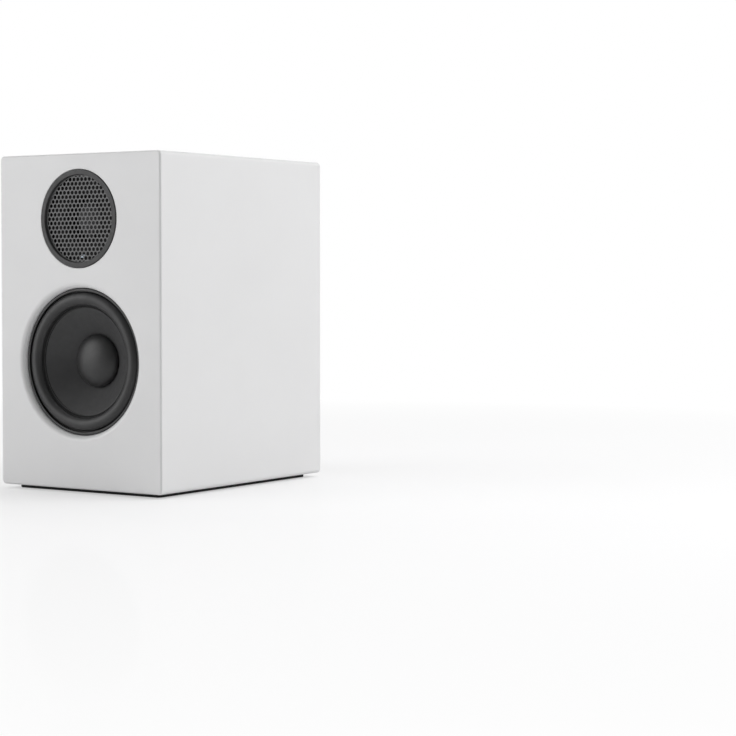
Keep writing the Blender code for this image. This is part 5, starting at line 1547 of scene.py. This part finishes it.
@dataclass
class AmplifierPlate:
    """The plate at the rear with what is fixed to it.

    Attributes:
        screw: radius and height of a screw's head.
        crown: the head's flat top and square edge, as shares of its radius and height.
        shank: radius of the shank as a share of the head's, and where it ends.
        slot: reach of the recess as a share of the head's radius, its width and its depth.
        turns: turn of the first screw's recess, and by how much the next ones differ, in radians.
        fins: number of cooling fins.
        fin: width of a fin and rounding of its edges.
        sink_base: thickness of the heat sink's base.
        sink_edge: bevel of the heat sink's two ends.
        ink: first and last level of the printed marks.
        line: width of a printed line.
        scale: first angle of the knob's scale, and its step, in degrees.
        ticks: radius where the scale begins, and where its short and long marks end.
        sign: how far a sign stands above its post, and half its width.
        bracket: how far a bracket hangs below its sockets, and how tall its ends are.
    """

    screw: Point = (2.9 * MM, 2.0 * MM)
    crown: Point = (0.45, 0.35)
    shank: Point = (0.5, -7.4 * MM)
    slot: tuple[float, float, float] = (0.55, 0.7 * MM, 1.1 * MM)
    turns: Point = (0.4, 0.7)
    fins: int = 9
    fin: Point = (1.8 * MM, 0.6 * MM)
    sink_base: float = 3.0 * MM
    sink_edge: float = 0.3 * MM
    ink: Point = (-0.02 * MM, 0.05 * MM)
    line: float = 0.45 * MM
    scale: Point = (240.0, 30.0)
    ticks: tuple[float, float, float] = (12.2 * MM, 14.2 * MM, 15.2 * MM)
    sign: Point = (11.0 * MM, 1.5 * MM)
    bracket: Point = (11.5 * MM, 1.6 * MM)

    def build(self) -> None:
        """Builds the screws, the heat sink and the print, and dresses the module."""
        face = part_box("amp_plate")[1].y
        for index in range(4):
            spot = centre_of(f"plate_screw_{index + 1}")
            turn = self.turns[0] + self.turns[1] * index
            screw = self.plate_screw(f"rear_screw_{index + 1}", Axis(spot.x, face, spot.z), turn)
            fit(screw, "cabinet", "black_steel", f"plate_screw_{index + 1}")
        fit(self.heat_sink(), "cabinet", "sink_aluminium", "heat_sink")
        fit(self.print_marks(face), "cabinet", "print_ink")
        dress_nodes({"amp_plate": "plate_paint", "main_board": "board_resin",
                     "transformer": "transformer_wrap", "volume_pot": "plated_steel"})

    def plate_screw(self, name: str, axis: Axis, turn: float) -> bpy.types.Object:
        """A pan-head screw with a cross recess.

        Args:
            name: the piece's name.
            axis: its axis, with its zero on the plate's face.
            turn: how far the recess is turned, in radians.

        Returns:
            The screw.
        """
        radius, height = self.screw
        base, top = GAP, GAP + height
        flat, square = self.crown
        outline = [(0.0, top), (radius * flat, top)]
        centre = (radius * flat, base + height * square)
        outline += arc(centre, (radius * (1.0 - flat), height * (1.0 - square)), 90.0, 0.0, 7)
        shank, tail = radius * self.shank[0], self.shank[1]
        outline += [(radius, base), (shank, base), (shank, tail), (0.0, tail)]
        screw = turned(name, outline[::-1], axis, SMALL_SIDES)
        share, width, depth = self.slot
        for way in (turn, turn + math.pi / 2.0):
            reach = (share * radius * math.cos(way), share * radius * math.sin(way))
            levels = (top - depth, top + OVERSHOOT)
            cut(screw, bar("slot", (-reach[0], -reach[1]), reach, width, levels, axis))
        return soften(screw)

    def heat_sink(self) -> bpy.types.Object:
        """The finned block, its fins rounded at their tips.

        Returns:
            The block.
        """
        low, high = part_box("heat_sink")
        count = self.fins
        width, edge = self.fin
        pitch = (high.x - low.x - width) / (count - 1)
        floor = low.y + self.sink_base
        points = [(low.x, low.y), (high.x, low.y)]
        for index in reversed(range(count)):
            left = low.x + index * pitch
            if index < count - 1:
                points.append((left + width, floor))
            points += [(left + width, high.y), (left, high.y)]
            if index > 0:
                points.append((left, floor))
        bevel = self.sink_edge
        layers = [(bevel, low.z), (0.0, low.z + bevel), (0.0, high.z - bevel), (bevel, high.z)]
        return upright("cooling_block", rounded(points, edge, 3), layers)

    def print_marks(self, face: float) -> bpy.types.Object:
        """Generic marks in ink: the knob's scale, polarity signs and two frames.

        Args:
            face: where the plate's face lies.

        Returns:
            The marks as one piece.
        """
        marks = []

        def draw(axis: Axis, *strokes: tuple[Point, Point]) -> None:
            """Adds straight strokes of ink, each from its first to its second end."""
            for start, end in strokes:
                marks.append(bar("stroke", start, end, self.line, self.ink, axis))

        knob = centre_of("volume_knob")
        inner, short, long = self.ticks
        for step in range(11):
            angle = math.radians(self.scale[0] - self.scale[1] * step)
            radii = (inner, long if step % 5 == 0 else short)
            start, end = [(radius * math.cos(angle), radius * math.sin(angle)) for radius in radii]
            draw(Axis(knob.x, face, knob.z), (start, end))
        above, reach = self.sign
        for colour in ("red", "black"):
            post = centre_of(f"post_base_{colour}")
            axis = Axis(post.x, face, post.z + above)
            draw(axis, ((-reach, 0.0), (reach, 0.0)))
            if colour == "red":
                draw(axis, ((0.0, -reach), (0.0, reach)))
        below, height = self.bracket
        for names in (("input_jack_left", "input_jack_right"), ("post_base_red", "post_base_black")):
            left, right = [centre_of(name) for name in names]
            axis = Axis((left.x + right.x) / 2.0, face, left.z - below)
            half = (right.x - left.x) / 2.0
            ends = ((-half, 0.0), (half, 0.0))
            draw(axis, ends, *[(end, (end[0], height)) for end in ends])
        return join("plate_print", marks)


@dataclass
class VolumeControl:
    """The knob, its pointer and its shaft.

    Attributes:
        radius: radius over the knob's ridges.
        groove: depth of a finger groove.
        flutes: number of grooves.
        edge: rounding of the knob's outer edge.
        dish: radius and depth of each step of the hollow in its face.
        pointer: how far out the pointer begins and ends, and its width.
        inlaid: how deep in the face the pointer begins and ends.
    """

    radius: float = 10.0 * MM
    groove: float = 0.6 * MM
    flutes: int = 18
    edge: float = 1.0 * MM
    dish: tuple[Point, ...] = (
        (7.6 * MM, 0.0), (7.3 * MM, 0.12 * MM), (7.0 * MM, 0.3 * MM), (2.0 * MM, 0.32 * MM),
    )
    pointer: tuple[float, float, float] = (2.4 * MM, 6.4 * MM, 1.0 * MM)
    inlaid: Point = (0.5 * MM, 0.1 * MM)

    def build(self) -> None:
        """Builds the knob and its pointer, and dresses the shaft."""
        low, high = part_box("volume_knob")
        spot = centre_of("volume_knob")
        axis = Axis(spot.x, 0.0, spot.z)
        outline = fluted(self.radius, self.groove, self.flutes)
        stack: list[Layer] = [(outline, *layer) for layer in soft_end(low.y, high.y, self.edge, 6)]
        for radius, sink in self.dish:
            scales = [radius / math.hypot(x, z) for x, z in outline]
            ring = [(x * scale, z * scale) for (x, z), scale in zip(outline, scales)]
            stack.append((ring, 0.0, high.y - sink))
        fit(stacked("knob_body", stack, axis), "volume_control", "knob_plastic", "volume_knob")
        levels = (high.y - self.inlaid[0], high.y - self.inlaid[1])
        start, end, width = self.pointer
        mark = bar("knob_pointer", (0.0, start), (0.0, end), width, levels, axis)
        fit(mark, "volume_control", "print_ink")
        dress_nodes({"volume_shaft": "plated_steel"})


@dataclass
class Controls:
    """The mains switch with its rocker, and the spring-back input button.

    Attributes:
        frame: half width and half height of the switch's rim.
        box: half width and half height of its body.
        well: half width and half height of its well.
        corners: corner of the rim and of the box.
        bevels: rounding of the rim's outer edge, and bevel of the well's.
        lip: how far the rim stands out.
        depth: depth of the body.
        bottom: thickness of the well's bottom.
        rocker: half width and half height of the rocker.
        swell: how far the rocker's ends stand out, and how deep its face is hollowed.
        hollow: how much of the rocker's width is hollowed.
        toe: the rocker's inner end: its share of the width, and its place.
        rocker_edges: rounding of the rocker's outline, and bevel of its sides.
        tilt: how far the rocker is tilted at rest.
        ink: first and last level of the rocker's marks.
        dash: distance, half length and width of the on mark.
        ring: distance, inner and outer radius of the off mark.
        button: radius of the button and how far it stands out.
        button_edge: rounding of its rim.
        button_dish: depth of its shallow dish, halfway and at the middle.
        collar: width of the collar that holds it, and its two levels.
        stem: radius of its stem.
    """

    frame: Point = (11.0 * MM, 8.0 * MM)
    box: Point = (9.5 * MM, 6.5 * MM)
    well: Point = (8.2 * MM, 5.2 * MM)
    corners: Point = (1.2 * MM, 0.6 * MM)
    bevels: Point = (0.5 * MM, 0.3 * MM)
    lip: float = 1.6 * MM
    depth: float = 13.0 * MM
    bottom: float = 1.3 * MM
    rocker: Point = (7.5 * MM, 4.5 * MM)
    swell: Point = (1.6 * MM, 0.6 * MM)
    hollow: float = 0.85
    toe: Point = (0.5, -5.0 * MM)
    rocker_edges: Point = (0.35 * MM, 0.3 * MM)
    tilt: float = math.radians(7.0)
    ink: Point = (-0.1 * MM, 0.06 * MM)
    dash: tuple[float, float, float] = (4.5 * MM, 1.3 * MM, 0.5 * MM)
    ring: tuple[float, float, float] = (-4.5 * MM, 0.9 * MM, 1.4 * MM)
    button: Point = (3.2 * MM, 2.6 * MM)
    button_edge: float = 0.5 * MM
    button_dish: Point = (0.22 * MM, 0.3 * MM)
    collar: tuple[float, float, float] = (1.2 * MM, -2.3 * MM - 1.0 * MM, -2.3 * MM)
    stem: float = 1.6 * MM

    def build(self) -> None:
        """Builds the switch's rim, the rocker with its marks, and the button."""
        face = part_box("amp_plate")[1].y
        spot = centre_of("power_switch_body")
        axis = Axis(spot.x, face, spot.z)
        fit(self.switch(axis), "cabinet", "black_plastic", "power_switch_body")
        fit(self.rocker_body(axis), "power_rocker_body", "knob_plastic", "power_rocker")
        fit(self.rocker_marks(axis), "power_rocker_body", "print_ink")
        spot = centre_of("input_button")
        button = turned("input_key", self.button_profile(face), Axis(spot.x, face, spot.z), MEDIUM_SIDES)
        fit(button, "input_button_body", "knob_plastic", "input_button")

    def switch(self, axis: Axis) -> bpy.types.Object:
        """The switch's rim and box, hollow towards the rear.

        Args:
            axis: the switch's middle, with its zero on the plate's face.

        Returns:
            The switch's body.
        """
        outer = box_outline(self.frame, [self.corners[0]] * 4)
        body, well = [box_outline(half, [self.corners[1]] * 4) for half in (self.box, self.well)]
        outlines = (body, outer, well)
        stack = framed(outlines, -self.depth, self.lip, self.bottom - self.depth, self.bevels)
        return stacked("switch_body", stack, axis)

    def tilted(self, axis: Axis, across: float, out: float, up: float) -> Vector:
        """A point of the rocker at its rest tilt."""
        turn = Matrix.Rotation(self.tilt, 3, "Z")
        return Vector((axis.x, axis.y, axis.z + up)) + turn @ Vector((across, out, 0.0))

    def rocker_level(self, across: float) -> float:
        """How far the rocker's hollowed face stands out at a place across it."""
        return self.swell[0] - self.swell[1] * (1.0 - (across / self.rocker[0]) ** 2)

    def rocker_body(self, axis: Axis) -> bpy.types.Object:
        """The rocker: a hollowed face with rounded edges.

        Args:
            axis: the switch's middle.

        Returns:
            The rocker.
        """
        half, end = self.rocker
        top = self.rocker_level(half)
        points = [(-half, top)]
        for share in np.linspace(-self.hollow, self.hollow, 13):
            points.append((half * share, self.rocker_level(half * share)))
        toe, foot = half * self.toe[0], self.toe[1]
        points += [(half, top), (half, 0.0), (toe, foot), (-toe, foot), (-half, 0.0)]
        rounding, edge = self.rocker_edges
        outline = rounded(points, rounding, 3)
        layers = [(edge, -end), (0.0, edge - end), (0.0, end - edge), (edge, end)]
        rings = []
        for amount, up in layers:
            rings.append([self.tilted(axis, x, out, up) for x, out in inset(outline, amount)])
        return skinned("rocker_body", rings)

    def rocker_marks(self, axis: Axis) -> bpy.types.Object:
        """The plain on and off marks, a bar and a ring, on the rocker's two ends.

        Args:
            axis: the switch's middle.

        Returns:
            Both marks as one piece.
        """
        foot, top = self.ink
        across, half, width = self.dash
        line = bar("line", (across, -half), (across, half), width, self.ink, Axis(0.0, 0.0, 0.0))
        across, inner, outer = self.ring
        band = [(inner, foot), (outer, foot), (outer, top), (inner, top)]
        ring = turned("ring", band, Axis(across, 0.0, 0.0), SMALL_SIDES)
        marks = join("rocker_marks", [line, ring])
        for vertex in marks.data.vertices:
            vertex.co.y += self.rocker_level(vertex.co.x)
        turn = Matrix.Translation((axis.x, axis.y, axis.z)) @ Matrix.Rotation(self.tilt, 4, "Z")
        marks.data.transform(turn)
        return marks

    def button_profile(self, face: float) -> list[Point]:
        """Cross-section of the button: a shallow dish, a lip behind the plate and a stem.

        Args:
            face: where the plate's face lies.

        Returns:
            The closed outline.
        """
        radius, out = self.button
        edge = self.button_edge
        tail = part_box("input_button")[0].y - face
        width, back, front = self.collar
        wide = radius + width
        outline = [(0.0, tail), (self.stem, tail), (self.stem, back), (wide, back), (wide, front)]
        outline.append((radius, front))
        outline += arc((radius - edge, out - edge), (edge, edge), 0.0, 90.0, 5)
        return outline + [(radius * 0.5, out - self.button_dish[0]), (0.0, out - self.button_dish[1])]


@dataclass
class Sockets:
    """Mains inlet, input jacks and loudspeaker posts.

    Attributes:
        inlet: half width and half height of the inlet's body.
        inlet_lip: how far its rim reaches beyond the body, and stands out.
        inlet_depth: depth of its body and of its well.
        inlet_corners: corner of its body, and the cut and rounded corners of its well.
        inlet_wall: thickness of its wall.
        inlet_bevels: rounding of the rim's outer edge, and bevel of the well's.
        pin: width, height and length of a mains pin.
        pin_root: how deep a pin is held, and the corners and the rounded tip of one.
        pin_places: spacing of the outer pins and how far pins are offset.
        jack: radius of a jack's barrel and of its flange.
        jack_levels: where a jack's tail, flange, well and centre hole lie.
        jack_out: how far the barrel stands out.
        jack_wall: thickness of the barrel.
        jack_edge: rounding of its edges.
        contact: inner and outer radius of the centre contact, and how far back it ends.
        ring: inner and outer radius of the plastic ring, its foot, and how far back it ends.
        post: radius of a post's collar and of its stud.
        post_tail: radius of a post's tail, and where it ends.
        post_levels: how far the collar and the stud stand out.
        post_edge: rounding of their edges.
        post_socket: radius and depth of the hole in the stud.
        washer_edge: how much smaller the washer is than the collar, and its rounding.
        cap_grooves: number of the cap's finger grooves.
        cap_edges: depth of a groove, bevel and rounding of the cap.
    """

    inlet: Point = (13.5 * MM, 10.0 * MM)
    inlet_lip: Point = (2.0 * MM, 2.5 * MM)
    inlet_depth: Point = (22.0 * MM, 19.5 * MM)
    inlet_corners: tuple[float, float, float] = (2.5 * MM, 4.6 * MM, 1.7 * MM)
    inlet_wall: float = 1.6 * MM
    inlet_bevels: Point = (0.6 * MM, 0.5 * MM)
    pin: tuple[float, float, float] = (2.0 * MM, 4.0 * MM, 13.0 * MM)
    pin_root: tuple[float, float, float] = (1.0 * MM, 0.4 * MM, 0.8 * MM)
    pin_places: Point = (7.0 * MM, 2.0 * MM)
    jack: Point = (4.1 * MM, 6.0 * MM)
    jack_levels: tuple[float, float, float, float] = (-14.0 * MM, 2.5 * MM, 1.3 * MM, 1.8 * MM)
    jack_out: float = 9.0 * MM
    jack_wall: float = 0.7 * MM
    jack_edge: Point = (0.3 * MM, 0.25 * MM)
    contact: tuple[float, float, float] = (1.5 * MM, 2.1 * MM, 2.0 * MM)
    ring: tuple[float, float, float, float] = (2.15 * MM, 3.35 * MM, 1.4 * MM, 2.6 * MM)
    post: Point = (7.5 * MM, 3.1 * MM)
    post_tail: Point = (3.6 * MM, -12.0 * MM)
    post_levels: Point = (4.3 * MM, 17.0 * MM)
    post_edge: Point = (0.4 * MM, 0.3 * MM)
    post_socket: Point = (2.1 * MM, 12.0 * MM)
    washer_edge: Point = (0.5 * MM, 0.3 * MM)
    cap_grooves: int = 12
    cap_edges: tuple[float, float, float] = (0.5 * MM, 0.35 * MM, 1.2 * MM)

    def build(self) -> None:
        """Builds the inlet, both jacks and both posts."""
        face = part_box("amp_plate")[1].y
        spot = centre_of("mains_inlet")
        axis = Axis(spot.x, face, spot.z)
        fit(self.inlet_body(axis), "cabinet", "black_plastic", "mains_inlet")
        fit(self.inlet_pins(axis), "cabinet", "nickel")
        for side, ring in (("left", "white_plastic"), ("right", "red_plastic")):
            spot = centre_of(f"input_jack_{side}")
            axis = Axis(spot.x, face, spot.z)
            barrel = turned(f"jack_{side}", self.jack_profile(), axis, MEDIUM_SIDES)
            fit(barrel, "cabinet", "nickel", f"input_jack_{side}")
            plastic = turned(f"jack_{side}_insulator", self.insulator_profile(), axis, MEDIUM_SIDES)
            fit(plastic, "cabinet", ring)
        for colour, finish in (("red", "red_plastic"), ("black", "black_plastic")):
            spot = centre_of(f"post_base_{colour}")
            axis = Axis(spot.x, face, spot.z)
            base = turned(f"terminal_{colour}_stud", self.post_profile(), axis, MEDIUM_SIDES)
            fit(base, "cabinet", "post_metal", f"post_base_{colour}")
            fit(self.washer(colour, axis), f"{colour}_clamp", "post_metal", f"post_washer_{colour}")
            fit(self.cap(colour, axis), f"{colour}_cap", finish, f"post_cap_{colour}")

    def inlet_body(self, axis: Axis) -> bpy.types.Object:
        """The inlet: a rim round a deep well with two corners cut off.

        Args:
            axis: the inlet's middle, with its zero on the plate's face.

        Returns:
            The inlet's body.
        """
        reach, out = self.inlet_lip
        width, height = self.inlet
        corner, cut_off, small = self.inlet_corners
        rim = box_outline((width + reach, height + reach), [corner] * 4)
        body = box_outline(self.inlet, [corner] * 4)
        half = (width - self.inlet_wall, height - self.inlet_wall)
        well = box_outline(half, [cut_off, cut_off, small, small], chamfered=True)
        tail, floor = [-depth for depth in self.inlet_depth]
        stack = framed((body, rim, well), tail, out, floor, self.inlet_bevels)
        return stacked("inlet_body", stack, axis)

    def inlet_pins(self, axis: Axis) -> bpy.types.Object:
        """The three flat mains pins with rounded tips.

        Args:
            axis: the inlet's middle.

        Returns:
            The pins as one piece.
        """
        width, height, length = self.pin
        spacing, offset = self.pin_places
        floor = -self.inlet_depth[1]
        held, corner, tip = self.pin_root
        outline = box_outline((width / 2.0, height / 2.0), [corner] * 4, 3)
        pins = []
        for across, up in ((-spacing, -offset), (0.0, offset), (spacing, -offset)):
            spot = Axis(axis.x + across, axis.y, axis.z + up)
            pins.append(layered("pin", outline, soft_end(floor - held, floor + length, tip), spot))
        return join("inlet_pins", pins)

    def jack_profile(self) -> list[Point]:
        """Cross-section of a jack: flange, barrel and centre socket.

        Returns:
            The closed outline.
        """
        barrel, flange = self.jack
        tail, step, floor, hole = self.jack_levels
        out, inner = self.jack_out, barrel - self.jack_wall
        edge, bevel = self.jack_edge
        outline = [(0.0, tail), (barrel, tail), (barrel, GAP), (flange, GAP)]
        outline += arc((flange - edge, step - edge), (edge, edge), 0.0, 90.0, 3)
        outline += [(barrel, step), (barrel, out - edge), (barrel - bevel, out), (inner, out)]
        socket, core, back = self.contact
        outline += [(inner, floor), (core, floor), (core, out - back - edge), (core - edge, out - back)]
        return outline + [(socket, out - back), (socket, hole), (0.0, hole)]

    def insulator_profile(self) -> list[Point]:
        """Cross-section of the plastic ring inside a jack.

        Returns:
            The closed outline.
        """
        inner, outer, foot, back = self.ring
        top = self.jack_out - back
        return rounded([(inner, foot), (outer, foot), (outer, top), (inner, top)], 0.2 * MM, 3)

    def post_profile(self) -> list[Point]:
        """Cross-section of a post: collar, stud and the socket in the stud.

        Returns:
            The closed outline.
        """
        collar, stud = self.post
        root, tail = self.post_tail
        top, out = self.post_levels
        socket, depth = self.post_socket
        edge, bevel = self.post_edge
        outline = [(0.0, tail), (root, tail), (root, GAP), (collar, GAP)]
        outline += arc((collar - edge, top - edge), (edge, edge), 0.0, 90.0, 4)
        outline += [(stud, top), (stud, out - edge), (stud - edge, out), (socket + bevel, out)]
        return outline + [(socket, out - bevel), (socket, out - depth), (0.0, out - depth)]

    def washer(self, colour: str, axis: Axis) -> bpy.types.Object:
        """The loose washer that clamps a bare wire.

        Args:
            colour: which post it belongs to.
            axis: the post's axis.

        Returns:
            The washer.
        """
        low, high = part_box(f"post_washer_{colour}")
        foot, top = low.y - axis.y, high.y - axis.y
        less, edge = self.washer_edge
        inner, outer = self.post[1] + GAP, self.post[0] - less
        outline = rounded([(inner, foot), (outer, foot), (outer, top), (inner, top)], edge, 3)
        return turned(f"terminal_{colour}_washer", outline, axis, MEDIUM_SIDES)

    def cap(self, colour: str, axis: Axis) -> bpy.types.Object:
        """The screw cap with its finger grooves and its bore.

        Args:
            colour: which post it belongs to.
            axis: the post's axis.

        Returns:
            The cap.
        """
        low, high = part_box(f"post_cap_{colour}")
        start, end = low.y - axis.y, high.y - axis.y
        groove, edge, rounding = self.cap_edges
        outline = fluted(self.post[0], groove, self.cap_grooves)
        bore = circle(self.post[1] + GAP, len(outline))
        stack: list[Layer] = [(outline, edge, start), (outline, 0.0, start + edge)]
        stack += [(outline, *layer) for layer in soft_end(start, end, rounding, 6)[1:]]
        stack += [(bore, -edge, end), (bore, 0.0, end - edge)]
        stack += [(bore, 0.0, start + edge), (bore, -edge, start)]
        return stacked(f"terminal_{colour}_cap", stack, axis, looped=True)


# ------------------------------------------------------------------------- studio
@dataclass(frozen=True)
class Lamp:
    """A square softbox that faces the speaker.

    Attributes:
        name: its name.
        place: where it hangs.
        width: its width.
        power: its power in watts.
    """

    name: str
    place: tuple[float, float, float]
    width: float
    power: float

    def build(self) -> None:
        """Hangs the softbox."""
        data = bpy.data.lights.new(self.name, "AREA")
        data.size = self.width
        data.energy = self.power
        lamp = new_piece(self.name, data)
        lamp.location = self.place
        way = AIMED_AT - lamp.location
        lamp.rotation_euler = way.to_track_quat("-Z", "Y").to_euler()
        lamp.visible_camera = False


@dataclass
class Studio:
    """A pale floor, soft studio light and the camera.

    Attributes:
        floor: half the floor's width.
        ambient: brightness of the studio's walls.
        gradient: how much brighter they are towards +X, +Y and +Z.
        polish: how much the floor mirrors.
        lamps: the softboxes.
        place: the camera's place.
        aim: its turn, in degrees.
        lens: focal length and width of the picture's field, in millimetres.
        shift: small vertical shift for framing.
        reach: nearest and farthest that the camera sees.
        whites: the floor's two colours.
        sheen: lowest and highest roughness of what the floor mirrors.
        glow: distances over which the floor turns white, and its glow at both.
    """

    floor: float = 6.0
    ambient: float = 0.5
    gradient: tuple[float, float, float] = (-0.14, 0.4, 0.08)
    polish: float = 0.1
    lamps: tuple[Lamp, ...] = (
        Lamp("front_softbox", (-1.5, -1.6, 0.7), 1.4, 16.5),
        Lamp("side_softbox", (0.95, 0.36, 0.98), 0.8, 7.0),
        Lamp("top_softbox", (0.0, 0.1, 1.7), 1.4, 5.0),
    )
    place: tuple[float, float, float] = (0.965, -1.198, 0.1579)
    aim: tuple[float, float, float] = (87.939, 0.0, 33.151)
    lens: Point = (99.33, 36.0)
    shift: float = -0.03
    reach: Point = (0.01, 50.0)
    whites: tuple[Colour, Colour] = ((0.94, 0.94, 0.945), (0.93, 0.93, 0.935))
    sheen: Point = (0.07, 0.1)
    glow: tuple[Point, Point] = ((0.25, 1.0), (0.42, 1.0))

    def build(self) -> None:
        """Builds the floor, the light and the camera."""
        scene = bpy.context.scene
        scene.view_settings.view_transform = "Standard"
        scene.view_settings.look = "None"
        self.lay_floor()
        self.light()
        data = bpy.data.cameras.new("camera")
        data.lens, data.sensor_width = self.lens
        data.shift_y = self.shift
        data.clip_start, data.clip_end = self.reach
        camera = new_piece("camera", data)
        camera.location = self.place
        camera.rotation_euler = [math.radians(angle) for angle in self.aim]
        scene.camera = camera

    def lay_floor(self) -> None:
        """Lays the pale, faintly glossy floor, which brightens to white far off."""
        half = self.floor
        corners = [(-half, -half, 0.0), (half, -half, 0.0), (half, half, 0.0), (-half, half, 0.0)]
        mesh = bpy.data.meshes.new("floor")
        mesh.from_pydata(corners, [], [(0, 1, 2, 3)])
        floor = new_piece("floor", mesh)
        bench = Bench("look_floor")
        patches = bench.spread(bench.noise(0.25), MIDDLING, (0.0, 1.0))
        colour = bench.mixed(patches, *self.whites)
        matt = bench.node("ShaderNodeBsdfDiffuse", {"Color": colour})
        gloss = bench.spread(bench.noise(0.08), MIDDLING, self.sheen)
        shine = bench.node("ShaderNodeBsdfGlossy", {"Roughness": gloss})
        links = {"0": self.polish, "1": matt.outputs[0], "2": shine.outputs[0]}
        near = bench.node("ShaderNodeMixShader", links)
        reach = bench.node("ShaderNodeVectorMath", {"0": bench.place}, operation="LENGTH")
        seen = bench.node("ShaderNodeLightPath", {}).outputs["Is Camera Ray"]
        share = bench.reckon("MULTIPLY", bench.spread(reach.outputs["Value"], *self.glow), seen)
        glow = bench.node("ShaderNodeEmission", {"Color": WHITE})
        links = {"0": share, "1": near.outputs[0], "2": glow.outputs[0]}
        blend = bench.node("ShaderNodeMixShader", links)
        output = bench.tree.nodes["Material Output"]
        bench.tree.links.new(blend.outputs[0], output.inputs["Surface"])
        mesh.materials.append(bench.material)

    def light(self) -> None:
        """Makes the studio's soft surroundings, a white backdrop for the camera, and the lamps."""
        world = bpy.data.worlds.new("studio")
        bpy.context.scene.world = world
        world.use_nodes = True
        tree = world.node_tree
        way = tree.nodes.new("ShaderNodeTexCoord").outputs["Generated"]
        slope = tree.nodes.new("ShaderNodeVectorMath")
        slope.operation = "DOT_PRODUCT"
        tree.links.new(way, slope.inputs[0])
        slope.inputs[1].default_value = self.gradient
        level = tree.nodes.new("ShaderNodeMath")
        tree.links.new(slope.outputs["Value"], level.inputs[0])
        level.inputs[1].default_value = self.ambient
        surroundings = tree.nodes["Background"]
        tree.links.new(level.outputs[0], surroundings.inputs["Strength"])
        surroundings.inputs["Color"].default_value = WHITE
        backdrop = tree.nodes.new("ShaderNodeBackground")
        backdrop.inputs["Color"].default_value = WHITE
        path = tree.nodes.new("ShaderNodeLightPath")
        choice = tree.nodes.new("ShaderNodeMixShader")
        tree.links.new(path.outputs["Is Camera Ray"], choice.inputs[0])
        tree.links.new(surroundings.outputs[0], choice.inputs[1])
        tree.links.new(backdrop.outputs[0], choice.inputs[2])
        tree.links.new(choice.outputs[0], tree.nodes["World Output"].inputs["Surface"])
        for lamp in self.lamps:
            lamp.build()


def main() -> None:
    """Builds every sub-assembly, then the studio."""
    logging.basicConfig(level=logging.INFO, format="%(name)s: %(message)s", stream=sys.stdout)
    steps: list[Callable[[], None]] = [
        Cabinet().build, Woofer().build, Tweeter().build, ReflexPort().build, AmplifierPlate().build,
        VolumeControl().build, Controls().build, Sockets().build, Studio().build,
    ]
    for step in steps:
        step()
    bpy.context.view_layer.update()


if __name__ == "__main__":
    main()
